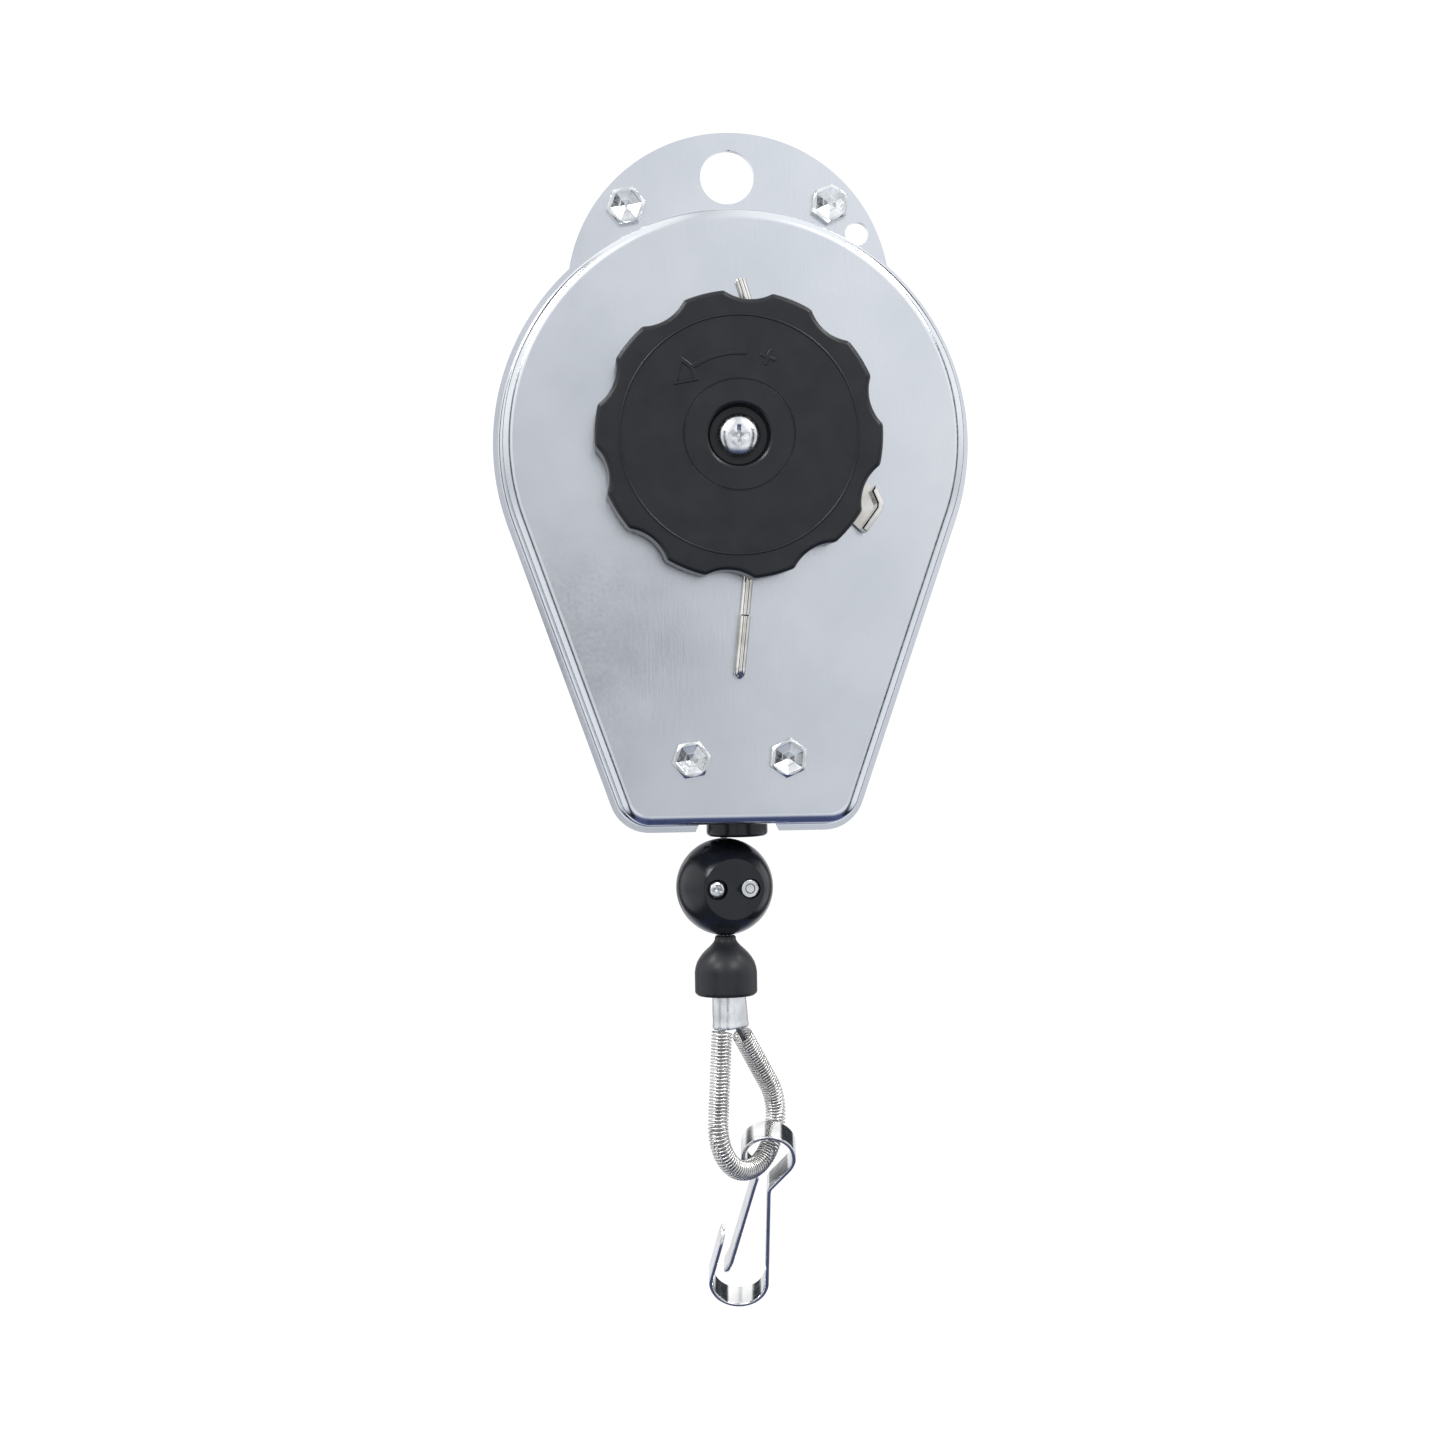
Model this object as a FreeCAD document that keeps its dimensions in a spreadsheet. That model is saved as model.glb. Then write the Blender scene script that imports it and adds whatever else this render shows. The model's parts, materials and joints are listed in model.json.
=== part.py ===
"""Spring tool balancer: a pear-shaped drawn steel case with a hanging ear, a spring-driven cable drum on a
ratcheted arbor, a tension knob, and a stop ball, cap, cable loop and snap hook on the end of the cable.

Frame: +Z up, the knob faces -Y, and the origin is the centre of the suspension hole, in the joint between the
two case halves. Lengths are in millimetres and angles in degrees. The case, drum and knob are drawn about the
arbor axis, which lies hang_drop below the origin.
"""
import FreeCAD
import Part
import Sketcher
import math
import os

from FreeCAD import Placement, Rotation, Vector

SIZES = [
    # The case and its ear
    ("hang_drop", 78.0, "suspension hole down to the arbor axis"),
    ("cover_radius", 66.6, "outside of the case wall about the arbor axis"),
    ("cover_bottom", 110.3, "arbor axis down to the outside of the case floor"),
    ("side_taper", 19.25, "lean of each side wall from upright, degrees"),
    ("corner_radius", 9.0, "bottom corners of the case wall"),
    ("sheet", 2.0, "steel sheet of both case halves"),
    ("flange_width", 3.0, "flange standing out past the case wall"),
    ("front_depth", 20.0, "case joint to the flat front face"),
    ("front_round", 3.2, "outer bend of the front half"),
    ("rear_depth", 38.0, "case joint to the flat rear face"),
    ("rear_round", 5.0, "outer bend of the rear half"),
    ("ear_radius", 47.2, "hanging ear"),
    ("ear_rise", 43.7, "ear centre above the arbor axis"),
    ("hang_bore", 7.9, "radius of the suspension hole"),
    ("chain_bore", 3.5, "radius of the safety chain hole"),
    ("chain_side", 37.8, "safety chain hole to the right of the middle"),
    ("chain_rise", 61.2, "safety chain hole above the arbor axis"),
    ("notch_width", 23.0, "gap in the flange for the cable guide"),
    # Bolts
    ("bolt_radius", 3.0, "M6 bolt shank"),
    ("bolt_hole", 3.3, "M6 clearance hole radius"),
    ("hex_flats", 10.0, "M6 head and nut across flats"),
    ("head_height", 4.0, "M6 bolt head"),
    ("nut_height", 5.0, "M6 nut"),
    ("thread_stand", 2.0, "bolt end standing out of its nut"),
    ("ear_bolt_side", 29.7, "ear bolts each side of the middle"),
    ("ear_bolt_rise", 69.6, "ear bolts above the arbor axis"),
    ("foot_bolt_side", 13.9, "case bolts each side of the middle"),
    ("foot_bolt_rise", 19.1, "case bolts above the outside of the case floor"),
    ("spacer_radius", 4.2, "spacer tube round each case bolt"),
    # Arbor, its bushes and the knob
    ("journal_radius", 5.0, "arbor in its bushes"),
    ("arbor_radius", 6.0, "arbor inside the drum"),
    ("running_gap", 0.05, "radial gap of shafts and pins in their bores"),
    ("bush_radius", 7.5, "bush through the case wall"),
    ("bush_flange", 9.5, "bush flange inside the case"),
    ("bush_flange_thick", 1.5, "thickness of a bush flange"),
    ("square_flats", 8.0, "arbor square across flats"),
    ("wheel_back", 3.6, "front face out to the back of the ratchet wheel"),
    ("wheel_thick", 4.0, "ratchet wheel"),
    ("wheel_tip", 17.0, "ratchet wheel over its teeth"),
    ("wheel_root", 14.4, "ratchet wheel at the foot of its teeth"),
    ("wheel_teeth", 12, "ratchet teeth"),
    ("knob_radius", 40.3, "knob over its lobes"),
    ("knob_lobes", 10, "lobes round the knob"),
    ("mark_height", 0.4, "raised marks on the knob"),
    ("knob_face", 25.0, "front face out to the knob face"),
    ("knob_rim", 5.6, "front face out to the knob rim"),
    ("knob_wall", 3.4, "knob skirt at a hollow between lobes"),
    ("knob_plate", 3.5, "knob face plate"),
    ("hub_radius", 11.0, "knob hub"),
    ("hollow_radius", 7.6, "round of a hollow between lobes"),
    ("hollow_depth", 3.4, "depth of a hollow between lobes"),
    ("lobe_round", 2.2, "corner of a lobe"),
    ("recess_radius", 8.8, "screw recess in the knob face"),
    ("recess_depth", 4.4, "depth of the screw recess"),
    ("screw_head", 6.1, "knob screw head radius"),
    ("ring_outer", 33.3, "outer ring line on the knob face"),
    ("ring_inner", 15.5, "inner ring line on the knob face"),
    ("ring_line", 0.6, "width of a ring line"),
    # Drum, cable and main spring
    ("wound_radius", 50.2, "cable centre on the drum"),
    ("cable_radius", 1.0, "wire rope"),
    ("turn_pitch", 2.8, "cable turns along the drum"),
    ("turn_count", 5, "cable turns at rest"),
    ("drum_flange", 58.0, "drum flanges"),
    ("drum_wall", 4.0, "drum barrel wall"),
    ("drum_front", 16.1, "case joint forward to the front of the drum"),
    ("drum_depth", 48.3, "drum from front to back"),
    ("drum_web", 3.0, "drum front plate"),
    ("drum_hub", 11.5, "drum hub"),
    ("hub_length", 8.0, "drum hub behind its front plate face"),
    ("drum_bush_wall", 2.0, "bush between drum and arbor"),
    ("lid_thick", 2.0, "spring lid"),
    ("spring_width", 38.0, "main spring strip"),
    ("spring_thick", 0.7, "main spring strip thickness"),
    ("spring_turns", 7, "turns of the main spring"),
    # Pawl and release wire
    ("pawl_thick", 2.4, "pawl sheet"),
    ("pawl_back", 2.9, "front face out to the back of the pawl"),
    ("pawl_pin_side", 22.0, "pawl pin to the right of the arbor"),
    ("pawl_pin_drop", 14.0, "pawl pin below the arbor"),
    ("pawl_pin_radius", 2.5, "pawl pin"),
    ("pawl_boss", 6.0, "pawl round its pin"),
    ("pawl_lug", 8.2, "finger lug standing forward of the pawl"),
    ("coil_wire", 0.6, "pawl spring wire"),
    ("spring_leg", 11.0, "legs of the pawl spring"),
    ("wire_radius", 1.5, "release wire"),
    ("wire_gap", 0.4, "release wire clear of the front face"),
    ("saddle_drop", 24.0, "wire saddle below the arbor"),
    ("saddle_width", 6.0, "wire saddle strap"),
    ("saddle_side", 4.8, "wire saddle to the right of the arbor"),
    ("rivet_side", 7.2, "saddle rivets each side of the wire"),
    ("rivet_radius", 1.5, "saddle rivet"),
    # Cable guide
    ("guide_radius", 9.0, "cable guide outside the case"),
    ("guide_neck", 7.0, "cable guide through the case floor"),
    ("guide_bore", 5.1, "bore of the cable guide"),
    ("guide_foot", 4.4, "cable guide below the case floor"),
    ("guide_tall", 18.7, "whole height of the cable guide"),
    # Load end of the cable
    ("cable_side", -3.95, "cable line to the right of the middle"),
    ("ball_drop", 129.6, "ball centre below the arbor axis"),
    ("ball_radius", 14.3, "stop ball"),
    ("ball_flat", 11.2, "flats of the ball from its centre"),
    ("ball_turn", 12.0, "turn of the ball about the cable, degrees"),
    ("ball_screw_side", 4.95, "ball screws each side of the cable"),
    ("ball_screw", 1.5, "M3 ball screw radius"),
    ("ball_recess", 3.0, "screw and nut recesses in the ball"),
    ("cap_radius", 9.2, "cap"),
    ("cap_tall", 17.6, "cap from neck to rim"),
    ("cap_neck", 3.1, "neck of the cap"),
    ("ferrule_half", 3.3, "half thickness of the ferrule"),
    ("ferrule_drop", 10.0, "ferrule below the cap rim"),
    ("loop_turn", 52.0, "turn of the loop plane about the cable, degrees"),
    ("loop_radius", 15.0, "round of the cable loop"),
    ("loop_side", 9.8, "loop centre out along its plane"),
    ("loop_centre_drop", 28.3, "loop centre below the ferrule"),
    ("guard_radius", 3.1, "spring guard on the loop"),
    ("guard_wire", 0.7, "wire of the spring guard"),
    # Snap hook
    ("hook_width", 8.4, "snap hook strip width"),
    ("hook_sheet", 1.2, "snap hook strip thickness"),
    ("ring_side", 8.7, "ring centre to the right of the middle"),
    ("ring_back", 14.9, "ring centre behind the case joint"),
    ("ring_below", 10.6, "ring centre below the loop centre"),
    ("hook_ring", 7.65, "mid-line radius of the ring"),
    ("hook_arc", 8.6, "mid-line radius of the bottom bend"),
    ("hook_neck", 12.1, "ring centre down to the neck"),
    ("hook_leg", 47.9, "ring centre down to the bend centre"),
    ("hook_tilt", 28.0, "lean of the hook, degrees"),
    ("hook_turn", -4.0, "turn of the hook, degrees"),
]

doc = FreeCAD.newDocument("ToolBalancer")
page = doc.addObject("Spreadsheet::Sheet", "Sizes")
SIGNS = {
    "+": lambda a, b: a + b,
    "-": lambda a, b: a - b,
    "*": lambda a, b: a * b,
    "/": lambda a, b: a / b,
}
pieces = []


class Size:
    """A number of the sheet, or a sum of them, with the formula that binds a property to it."""

    def __init__(self, value, formula):
        self.value = value
        self.formula = formula

    def __float__(self):
        return float(self.value)

    def __neg__(self):
        return joined(0.0, "-", self)

    def __add__(self, other):
        return joined(self, "+", other)

    def __radd__(self, other):
        return joined(other, "+", self)

    def __sub__(self, other):
        return joined(self, "-", other)

    def __rsub__(self, other):
        return joined(other, "-", self)

    def __mul__(self, other):
        return joined(self, "*", other)

    def __rmul__(self, other):
        return joined(other, "*", self)

    def __truediv__(self, other):
        return joined(self, "/", other)


def formula(number):
    return number.formula if isinstance(number, Size) else repr(float(number))


def joined(a, sign, b):
    return Size(SIGNS[sign](float(a), float(b)), f"({formula(a)} {sign} {formula(b)})")


class Sheet:
    """The driving sizes by name."""


size = Sheet()
for row, (alias, number, note) in enumerate(SIZES, 1):
    page.set(f"A{row}", alias)
    page.set(f"B{row}", str(number))
    page.set(f"C{row}", note)
    page.setAlias(f"B{row}", alias)
    setattr(size, alias, Size(number, f"Sizes.{alias}"))
doc.recompute()


def spot(x, y, z):
    return Vector(float(x), float(y), float(z))


def bind(thing, name, number):
    """Give a property its number, tied to the sheet where the number comes from it."""
    if isinstance(number, Size):
        thing.setExpression(name, number.formula)
    else:
        setattr(thing, name, number)


def place(thing, x, y, z, turn=None):
    thing.Placement = Placement(spot(x, y, z), turn or Rotation())
    for axis, number in (("x", x), ("y", y), ("z", z)):
        if isinstance(number, Size):
            thing.setExpression(f"Placement.Base.{axis}", number.formula)


def piece(thing, label):
    """Name a finished sub-part; its label names its file."""
    thing.Label = label
    pieces.append(thing)
    return thing


ARBOR_DROP = -size.hang_drop
ALONG_Y = Rotation(Vector(1, 0, 0), -90)
ALONG_X = Rotation(Vector(0, 1, 0), 90)
COILS = 3


# ---- Sketches and features ----


def new_body(name):
    return doc.addObject("PartDesign::Body", name + "_body")


def sketch_on(body, role, lift=0.0):
    sketch = body.newObject("Sketcher::SketchObject", "Outline")
    planes = [item for item in body.Origin.OriginFeatures if item.Role == role]
    sketch.AttachmentSupport = [(planes[0], "")]
    sketch.MapMode = "FlatFace"
    sketch.AttachmentOffset = Placement(spot(0, 0, lift), Rotation())
    if isinstance(lift, Size):
        sketch.setExpression("AttachmentOffset.Base.z", lift.formula)
    return sketch


def hold(sketch, kind, number, *targets, unit=""):
    """Add a driving dimension and tie it to the sheet."""
    value = float(number)
    if unit:
        value = math.radians(value)
    index = sketch.addConstraint(Sketcher.Constraint(kind, *targets, value))
    if isinstance(number, Size):
        sketch.setExpression(f"Constraints[{index}]", number.formula + unit)


def pin(sketch, edge, end, x, y):
    hold(sketch, "DistanceX", x, -1, 1, edge, end)
    hold(sketch, "DistanceY", y, -1, 1, edge, end)


def polygon(sketch, points):
    """A closed outline of straight lines through the points."""
    count = len(points)
    first = sketch.GeometryCount
    for index, (x, y) in enumerate(points):
        after = points[(index + 1) % count]
        sketch.addGeometry(Part.LineSegment(spot(x, y, 0), spot(after[0], after[1], 0)))
    for index, (x, y) in enumerate(points):
        after = (index + 1) % count
        sketch.addConstraint(Sketcher.Constraint("Coincident", first + index, 2, first + after, 1))
        pin(sketch, first + index, 1, x, y)


def circle(sketch, x, y, radius):
    index = sketch.addGeometry(Part.Circle(spot(x, y, 0), Vector(0, 0, 1), float(radius)))
    pin(sketch, index, 3, x, y)
    hold(sketch, "Radius", radius, index)


def pad(body, sketch, length, reverse=False, middle=False):
    feature = body.newObject("PartDesign::Pad", "Pad")
    feature.Profile = sketch
    feature.Reversed = reverse
    feature.SideType = "Symmetric" if middle else "One side"
    bind(feature, "Length", length)
    doc.recompute()
    return feature


def pocket(body, sketch, length=None, reverse=False):
    """Cut the outline away: right through both ways, or to a length on one side."""
    before = body.Tip.Shape.Volume
    feature = body.newObject("PartDesign::Pocket", "Pocket")
    feature.Profile = sketch
    feature.Reversed = reverse
    if length is None:
        feature.Type = "ThroughAll"
        feature.SideType = "Symmetric"
    else:
        bind(feature, "Length", length)
    doc.recompute()
    if feature.Shape.Volume > before - 0.01:
        raise RuntimeError(f"a pocket of {body.Name} cut nothing")
    return feature


def edge_names(shape, points):
    """Names of the edges that pass through the points."""
    names = []
    for point in points:
        here = Part.Vertex(point)
        gaps = [edge.distToShape(here)[0] for edge in shape.Edges]
        names.append(f"Edge{gaps.index(min(gaps)) + 1}")
    return sorted(set(names))


def rounding(body, radius, points):
    base = body.Tip
    feature = body.newObject("PartDesign::Fillet", "Fillet")
    feature.Base = (base, edge_names(base.Shape, points))
    bind(feature, "Radius", radius)
    doc.recompute()
    return feature


def polar(body, feature, count, sketch):
    ring = body.newObject("PartDesign::PolarPattern", "Ring")
    ring.Originals = [feature]
    ring.Axis = (sketch, ["N_Axis"])
    ring.Angle = 360
    bind(ring, "Occurrences", count)
    body.Tip = ring
    doc.recompute()
    return ring


def turned(label, role, points, x=0.0, y=0.0, z=ARBOR_DROP, turn=None):
    """A turned piece: an outline of (radius, height) corners spun about its own axis."""
    body = new_body(label)
    sketch = sketch_on(body, role)
    polygon(sketch, points)
    spin = body.newObject("PartDesign::Revolution", "Spin")
    spin.Profile = sketch
    spin.ReferenceAxis = (sketch, ["V_Axis"])
    spin.Angle = 360
    doc.recompute()
    place(body, x, y, z, turn)
    return piece(body, label)


# ---- Primitives, booleans and sweeps ----


def cylinder(radius, height, x=0.0, y=0.0, z=0.0, turn=None):
    thing = doc.addObject("Part::Cylinder", "Cylinder")
    bind(thing, "Radius", radius)
    bind(thing, "Height", height)
    place(thing, x, y, z, turn)
    return thing


def hexagon(flats, height, x, y, z, turn):
    thing = doc.addObject("Part::Prism", "Hexagon")
    thing.Polygon = 6
    bind(thing, "Circumradius", flats / (2 * math.cos(math.radians(30))))
    bind(thing, "Height", height)
    place(thing, x, y, z, turn)
    return thing


def fuse(*things):
    result = doc.addObject("Part::MultiFuse", "Fuse")
    result.Shapes = list(things)
    return result


def cut(base, tool):
    result = doc.addObject("Part::Cut", "Cut")
    result.Base = base
    result.Tool = tool
    return result


def common(*things):
    result = doc.addObject("Part::MultiCommon", "Common")
    result.Shapes = list(things)
    return result


def group(label, things):
    """Like pieces that share one node."""
    result = doc.addObject("Part::Compound", label)
    result.Links = things
    return piece(result, label)


def formed(label, shape, x=0.0, y=0.0, z=ARBOR_DROP, turn=None):
    """A piece whose shape comes from a sweep or a loft."""
    thing = doc.addObject("Part::Feature", label + "_formed")
    thing.Shape = shape
    place(thing, x, y, z, turn)
    return piece(thing, label)


def rounded_path(points, radii):
    """Straight runs through the points, joined by tangent arcs of the given radii."""
    edges = []
    start = points[0]
    for index, radius in enumerate(radii, 1):
        corner = points[index]
        back = (points[index - 1] - corner).normalize()
        ahead = (points[index + 1] - corner).normalize()
        half = back.getAngle(ahead) / 2
        reach = float(radius) / math.tan(half)
        middle = (back + ahead).normalize() * (float(radius) / math.sin(half) - float(radius))
        enter = corner + back * reach
        leave = corner + ahead * reach
        edges.append(Part.LineSegment(start, enter).toShape())
        edges.append(Part.Arc(enter, corner + middle, leave).toShape())
        start = leave
    edges.append(Part.LineSegment(start, points[-1]).toShape())
    return Part.Wire(edges)


def swept(path, section):
    return path.makePipeShell([section], True, False)


def tube(path, radius):
    start = path.Edges[0]
    at = start.valueAt(start.FirstParameter)
    along = start.tangentAt(start.FirstParameter)
    return swept(path, Part.Wire(Part.makeCircle(float(radius), at, along)))


# ---- Case halves, drawn from sheet about the arbor axis ----

TAPER = size.side_taper
COS = math.cos(math.radians(float(TAPER)))
SIN = math.sin(math.radians(float(TAPER)))


def pear(sketch, grow):
    """A round top, straight sides that close downwards, and a floor with round corners."""
    first = sketch.GeometryCount
    round_top, right, low_right, floor, low_left, left = range(first, first + 6)
    top_radius = size.cover_radius + grow
    low_radius = size.corner_radius + grow
    drop = size.cover_bottom + grow
    r = float(top_radius)
    c = float(low_radius)
    b = float(drop)
    high = c - b
    side = (r - c + high * SIN) / COS
    slope = math.radians(float(TAPER))
    up = Vector(0, 0, 1)
    top_circle = Part.Circle(Vector(0, 0, 0), up, r)
    right_circle = Part.Circle(Vector(side, high, 0), up, c)
    left_circle = Part.Circle(Vector(-side, high, 0), up, c)
    top_right = Vector(r * COS, -r * SIN, 0)
    top_left = Vector(-r * COS, -r * SIN, 0)
    foot_right = Vector(side + c * COS, high - c * SIN, 0)
    foot_left = Vector(-side - c * COS, high - c * SIN, 0)
    sketch.addGeometry(Part.ArcOfCircle(top_circle, -slope, math.pi + slope))
    sketch.addGeometry(Part.LineSegment(foot_right, top_right))
    sketch.addGeometry(Part.ArcOfCircle(right_circle, -math.pi / 2, -slope))
    sketch.addGeometry(Part.LineSegment(Vector(-side, -b, 0), Vector(side, -b, 0)))
    sketch.addGeometry(Part.ArcOfCircle(left_circle, math.pi + slope, 1.5 * math.pi))
    sketch.addGeometry(Part.LineSegment(top_left, foot_left))
    tangents = (
        (round_top, 1, right, 2),
        (right, 1, low_right, 2),
        (low_right, 1, floor, 2),
        (floor, 1, low_left, 2),
        (low_left, 1, left, 2),
        (left, 1, round_top, 2),
    )
    for joint in tangents:
        sketch.addConstraint(Sketcher.Constraint("Tangent", *joint))
    sketch.addConstraint(Sketcher.Constraint("Coincident", round_top, 3, -1, 1))
    hold(sketch, "Radius", top_radius, round_top)
    hold(sketch, "Radius", low_radius, low_right)
    sketch.addConstraint(Sketcher.Constraint("Equal", low_right, low_left))
    sketch.addConstraint(Sketcher.Constraint("Symmetric", floor, 1, floor, 2, -2))
    hold(sketch, "DistanceY", -drop, -1, 1, floor, 1)
    hold(sketch, "Angle", 90 - TAPER, right, unit=" * 1 deg")


def drawn_half(label, depth, bend, front):
    """One case half: a drawn shell with a flange that widens into the hanging ear."""
    body = new_body(label)
    face = -1 if front else 1
    inner_depth = depth - size.sheet
    ear = sketch_on(body, "XZ_Plane")
    circle(ear, 0, size.ear_rise, size.ear_radius)
    pad(body, ear, size.sheet, reverse=not front)
    flange = sketch_on(body, "XZ_Plane")
    pear(flange, size.flange_width)
    pad(body, flange, size.sheet, reverse=not front)
    wall = sketch_on(body, "XZ_Plane")
    pear(wall, Size(0.0, "0"))
    pad(body, wall, depth, reverse=not front)
    outer = float(size.cover_radius)
    rounding(body, bend, [Vector(0, face * float(depth), outer)])
    hollow = sketch_on(body, "XZ_Plane")
    pear(hollow, -size.sheet)
    pocket(body, hollow, inner_depth, reverse=front)
    rounding(body, bend - size.sheet, [Vector(0, face * float(inner_depth), outer - float(size.sheet))])
    holes = sketch_on(body, "XZ_Plane")
    circle(holes, 0, 0, size.bush_radius)
    circle(holes, 0, size.hang_drop, size.hang_bore)
    circle(holes, size.chain_side, size.chain_rise, size.chain_bore)
    for side in (-1, 1):
        circle(holes, side * size.ear_bolt_side, size.ear_bolt_rise, size.bolt_hole)
        circle(holes, side * size.foot_bolt_side, size.foot_bolt_rise - size.cover_bottom, size.bolt_hole)
    if front:
        circle(holes, size.pawl_pin_side, -size.pawl_pin_drop, size.pawl_pin_radius)
        for side in (-1, 1):
            x = size.saddle_side + side * size.rivet_side * SADDLE_COS
            circle(holes, x, -size.saddle_drop - side * size.rivet_side * SADDLE_SIN, size.rivet_radius)
    pocket(body, holes)
    notch = sketch_on(body, "XZ_Plane")
    half = size.notch_width / 2
    low = -size.cover_bottom - 2 * size.flange_width
    high = -size.cover_bottom
    polygon(notch, [(-half - 2.2, low), (half + 2.2, low), (half - 0.6, high), (-half + 0.6, high)])
    pocket(body, notch)
    neck = sketch_on(body, "XY_Plane", -size.cover_bottom)
    circle(neck, 0, 0, size.guide_neck + size.running_gap)
    pocket(body, neck, 3 * size.sheet, reverse=True)
    place(body, 0, 0, ARBOR_DROP)
    return piece(body, label)


SADDLE_LEAN = 11.0
SADDLE_COS = math.cos(math.radians(SADDLE_LEAN))
SADDLE_SIN = math.sin(math.radians(SADDLE_LEAN))

drawn_half("front_cover", size.front_depth, size.front_round, True)
drawn_half("rear_cover", size.rear_depth, size.rear_round, False)

FRONT_IN = size.front_depth - size.sheet
REAR_IN = size.rear_depth - size.sheet


def flanged_bush(label, outside, inside, ahead):
    """A bush pressed through a case wall, its flange inside the case."""
    bore = size.journal_radius + size.running_gap
    end = inside - size.bush_flange_thick
    points = [(bore, outside), (size.bush_radius, outside), (size.bush_radius, inside)]
    points += [(size.bush_flange, inside), (size.bush_flange, end), (bore, end)]
    turned(label, "XY_Plane", [(radius, ahead * depth) for radius, depth in points])


flanged_bush("front_bush", size.front_depth, FRONT_IN, -1)
flanged_bush("rear_bush", size.rear_depth, REAR_IN, 1)


# ---- Fasteners of the case; each is built pointing back from its head ----


def chamfered_hexagon(flats, height, x, y, z, turn):
    """A hexagon whose top corners are cut by a shallow cone; its top faces along its axis."""
    blank = hexagon(flats, height, x, y, z, turn)
    cone = doc.addObject("Part::Cone", "Chamfer")
    bind(cone, "Radius2", flats / 2)
    bind(cone, "Radius1", flats / 2 + height * math.sqrt(3))
    bind(cone, "Height", height)
    place(cone, x, y, z, turn)
    return common(blank, cone)


FORWARD = Rotation(Vector(1, 0, 0), 90)
ROLLS = (9.0, 24.0)


def hex_bolt(x, z, seat, reach, roll):
    """Head in front of the seat, shank back to the reach."""
    turn = FORWARD.multiply(Rotation(Vector(0, 0, 1), roll))
    head = chamfered_hexagon(size.hex_flats, size.head_height, x, seat, z, turn)
    shank = cylinder(size.bolt_radius, reach - seat, x, seat, z, ALONG_Y)
    return fuse(head, shank)


def hex_nut(x, z, seat, roll):
    turn = ALONG_Y.multiply(Rotation(Vector(0, 0, 1), roll))
    blank = chamfered_hexagon(size.hex_flats, size.nut_height, x, seat, z, turn)
    return cut(blank, cylinder(size.bolt_radius, size.nut_height, x, seat, z, ALONG_Y))


def fastener_pair(name, side, rise, seat, far):
    bolts = []
    nuts = []
    for sign, roll in zip((-1, 1), ROLLS):
        x = sign * side
        end = far + size.nut_height + size.thread_stand
        bolts.append(hex_bolt(x, rise, seat, end, roll))
        nuts.append(hex_nut(x, rise, far, roll + 15))
    group(name + "_bolts", bolts)
    group(name + "_nuts", nuts)


ear_rise = size.ear_bolt_rise - size.hang_drop
foot_rise = size.foot_bolt_rise - size.cover_bottom - size.hang_drop
fastener_pair("ear", size.ear_bolt_side, ear_rise, -size.sheet, size.sheet)
fastener_pair("case", size.foot_bolt_side, foot_rise, -size.front_depth, size.rear_depth)

spacers = []
for sign in (-1, 1):
    x = sign * size.foot_bolt_side
    tube_body = cylinder(size.spacer_radius, FRONT_IN + REAR_IN, x, -FRONT_IN, foot_rise, ALONG_Y)
    tube_bore = cylinder(size.bolt_hole - 0.15, FRONT_IN + REAR_IN, x, -FRONT_IN, foot_rise, ALONG_Y)
    spacers.append(cut(tube_body, tube_bore))
group("case_spacers", spacers)


# ---- Cable guide in the case floor ----

guide_low = -size.cover_bottom - size.guide_foot
guide_top = guide_low + size.guide_tall
floor_in = size.sheet - size.cover_bottom
guide = turned(
    "cable_guide",
    "XZ_Plane",
    [
        (size.guide_bore, guide_low),
        (size.guide_radius, guide_low),
        (size.guide_radius, -size.cover_bottom),
        (size.guide_neck, -size.cover_bottom),
        (size.guide_neck, floor_in),
        (size.guide_radius, floor_in),
        (size.guide_radius, guide_top),
        (size.guide_bore, guide_top),
    ],
)
bore = float(size.guide_bore)
rim = float(size.guide_radius)
for radius, at, bend in ((bore, guide_low, 2.4), (bore, guide_top, 2.4), (rim, guide_low, 1.2)):
    rounding(guide, bend, [Vector(-radius, 0, float(at))])


# ---- Drum, its bush, lid and cable ----

front = -size.drum_front
back = front + size.drum_depth
barrel = size.wound_radius - size.cable_radius
pot = barrel - size.drum_wall
bush_out = size.arbor_radius + size.drum_bush_wall
band_front = -size.turn_pitch / 2 - size.cable_radius
band_back = size.turn_pitch * (size.turn_count - 1) - band_front
cheek = 2.6
drum = turned(
    "cable_drum",
    "XY_Plane",
    [
        (bush_out, front),
        (barrel, front),
        (barrel, band_front - cheek),
        (size.drum_flange, band_front - cheek),
        (size.drum_flange, band_front),
        (barrel, band_front),
        (barrel, band_back),
        (size.drum_flange, band_back),
        (size.drum_flange, band_back + cheek),
        (barrel, band_back + cheek),
        (barrel, back),
        (pot, back),
        (pot, front + size.drum_web),
        (size.drum_hub, front + size.drum_web),
        (size.drum_hub, front + size.hub_length),
        (bush_out, front + size.hub_length),
    ],
)
anchor = sketch_on(drum, "YZ_Plane")
slot_front = back - 15
slot_back = back - 3
polygon(anchor, [(slot_front, -0.6), (slot_back, -0.6), (slot_back, 0.6), (slot_front, 0.6)])
pocket(drum, anchor, barrel + 1, reverse=True)

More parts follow.
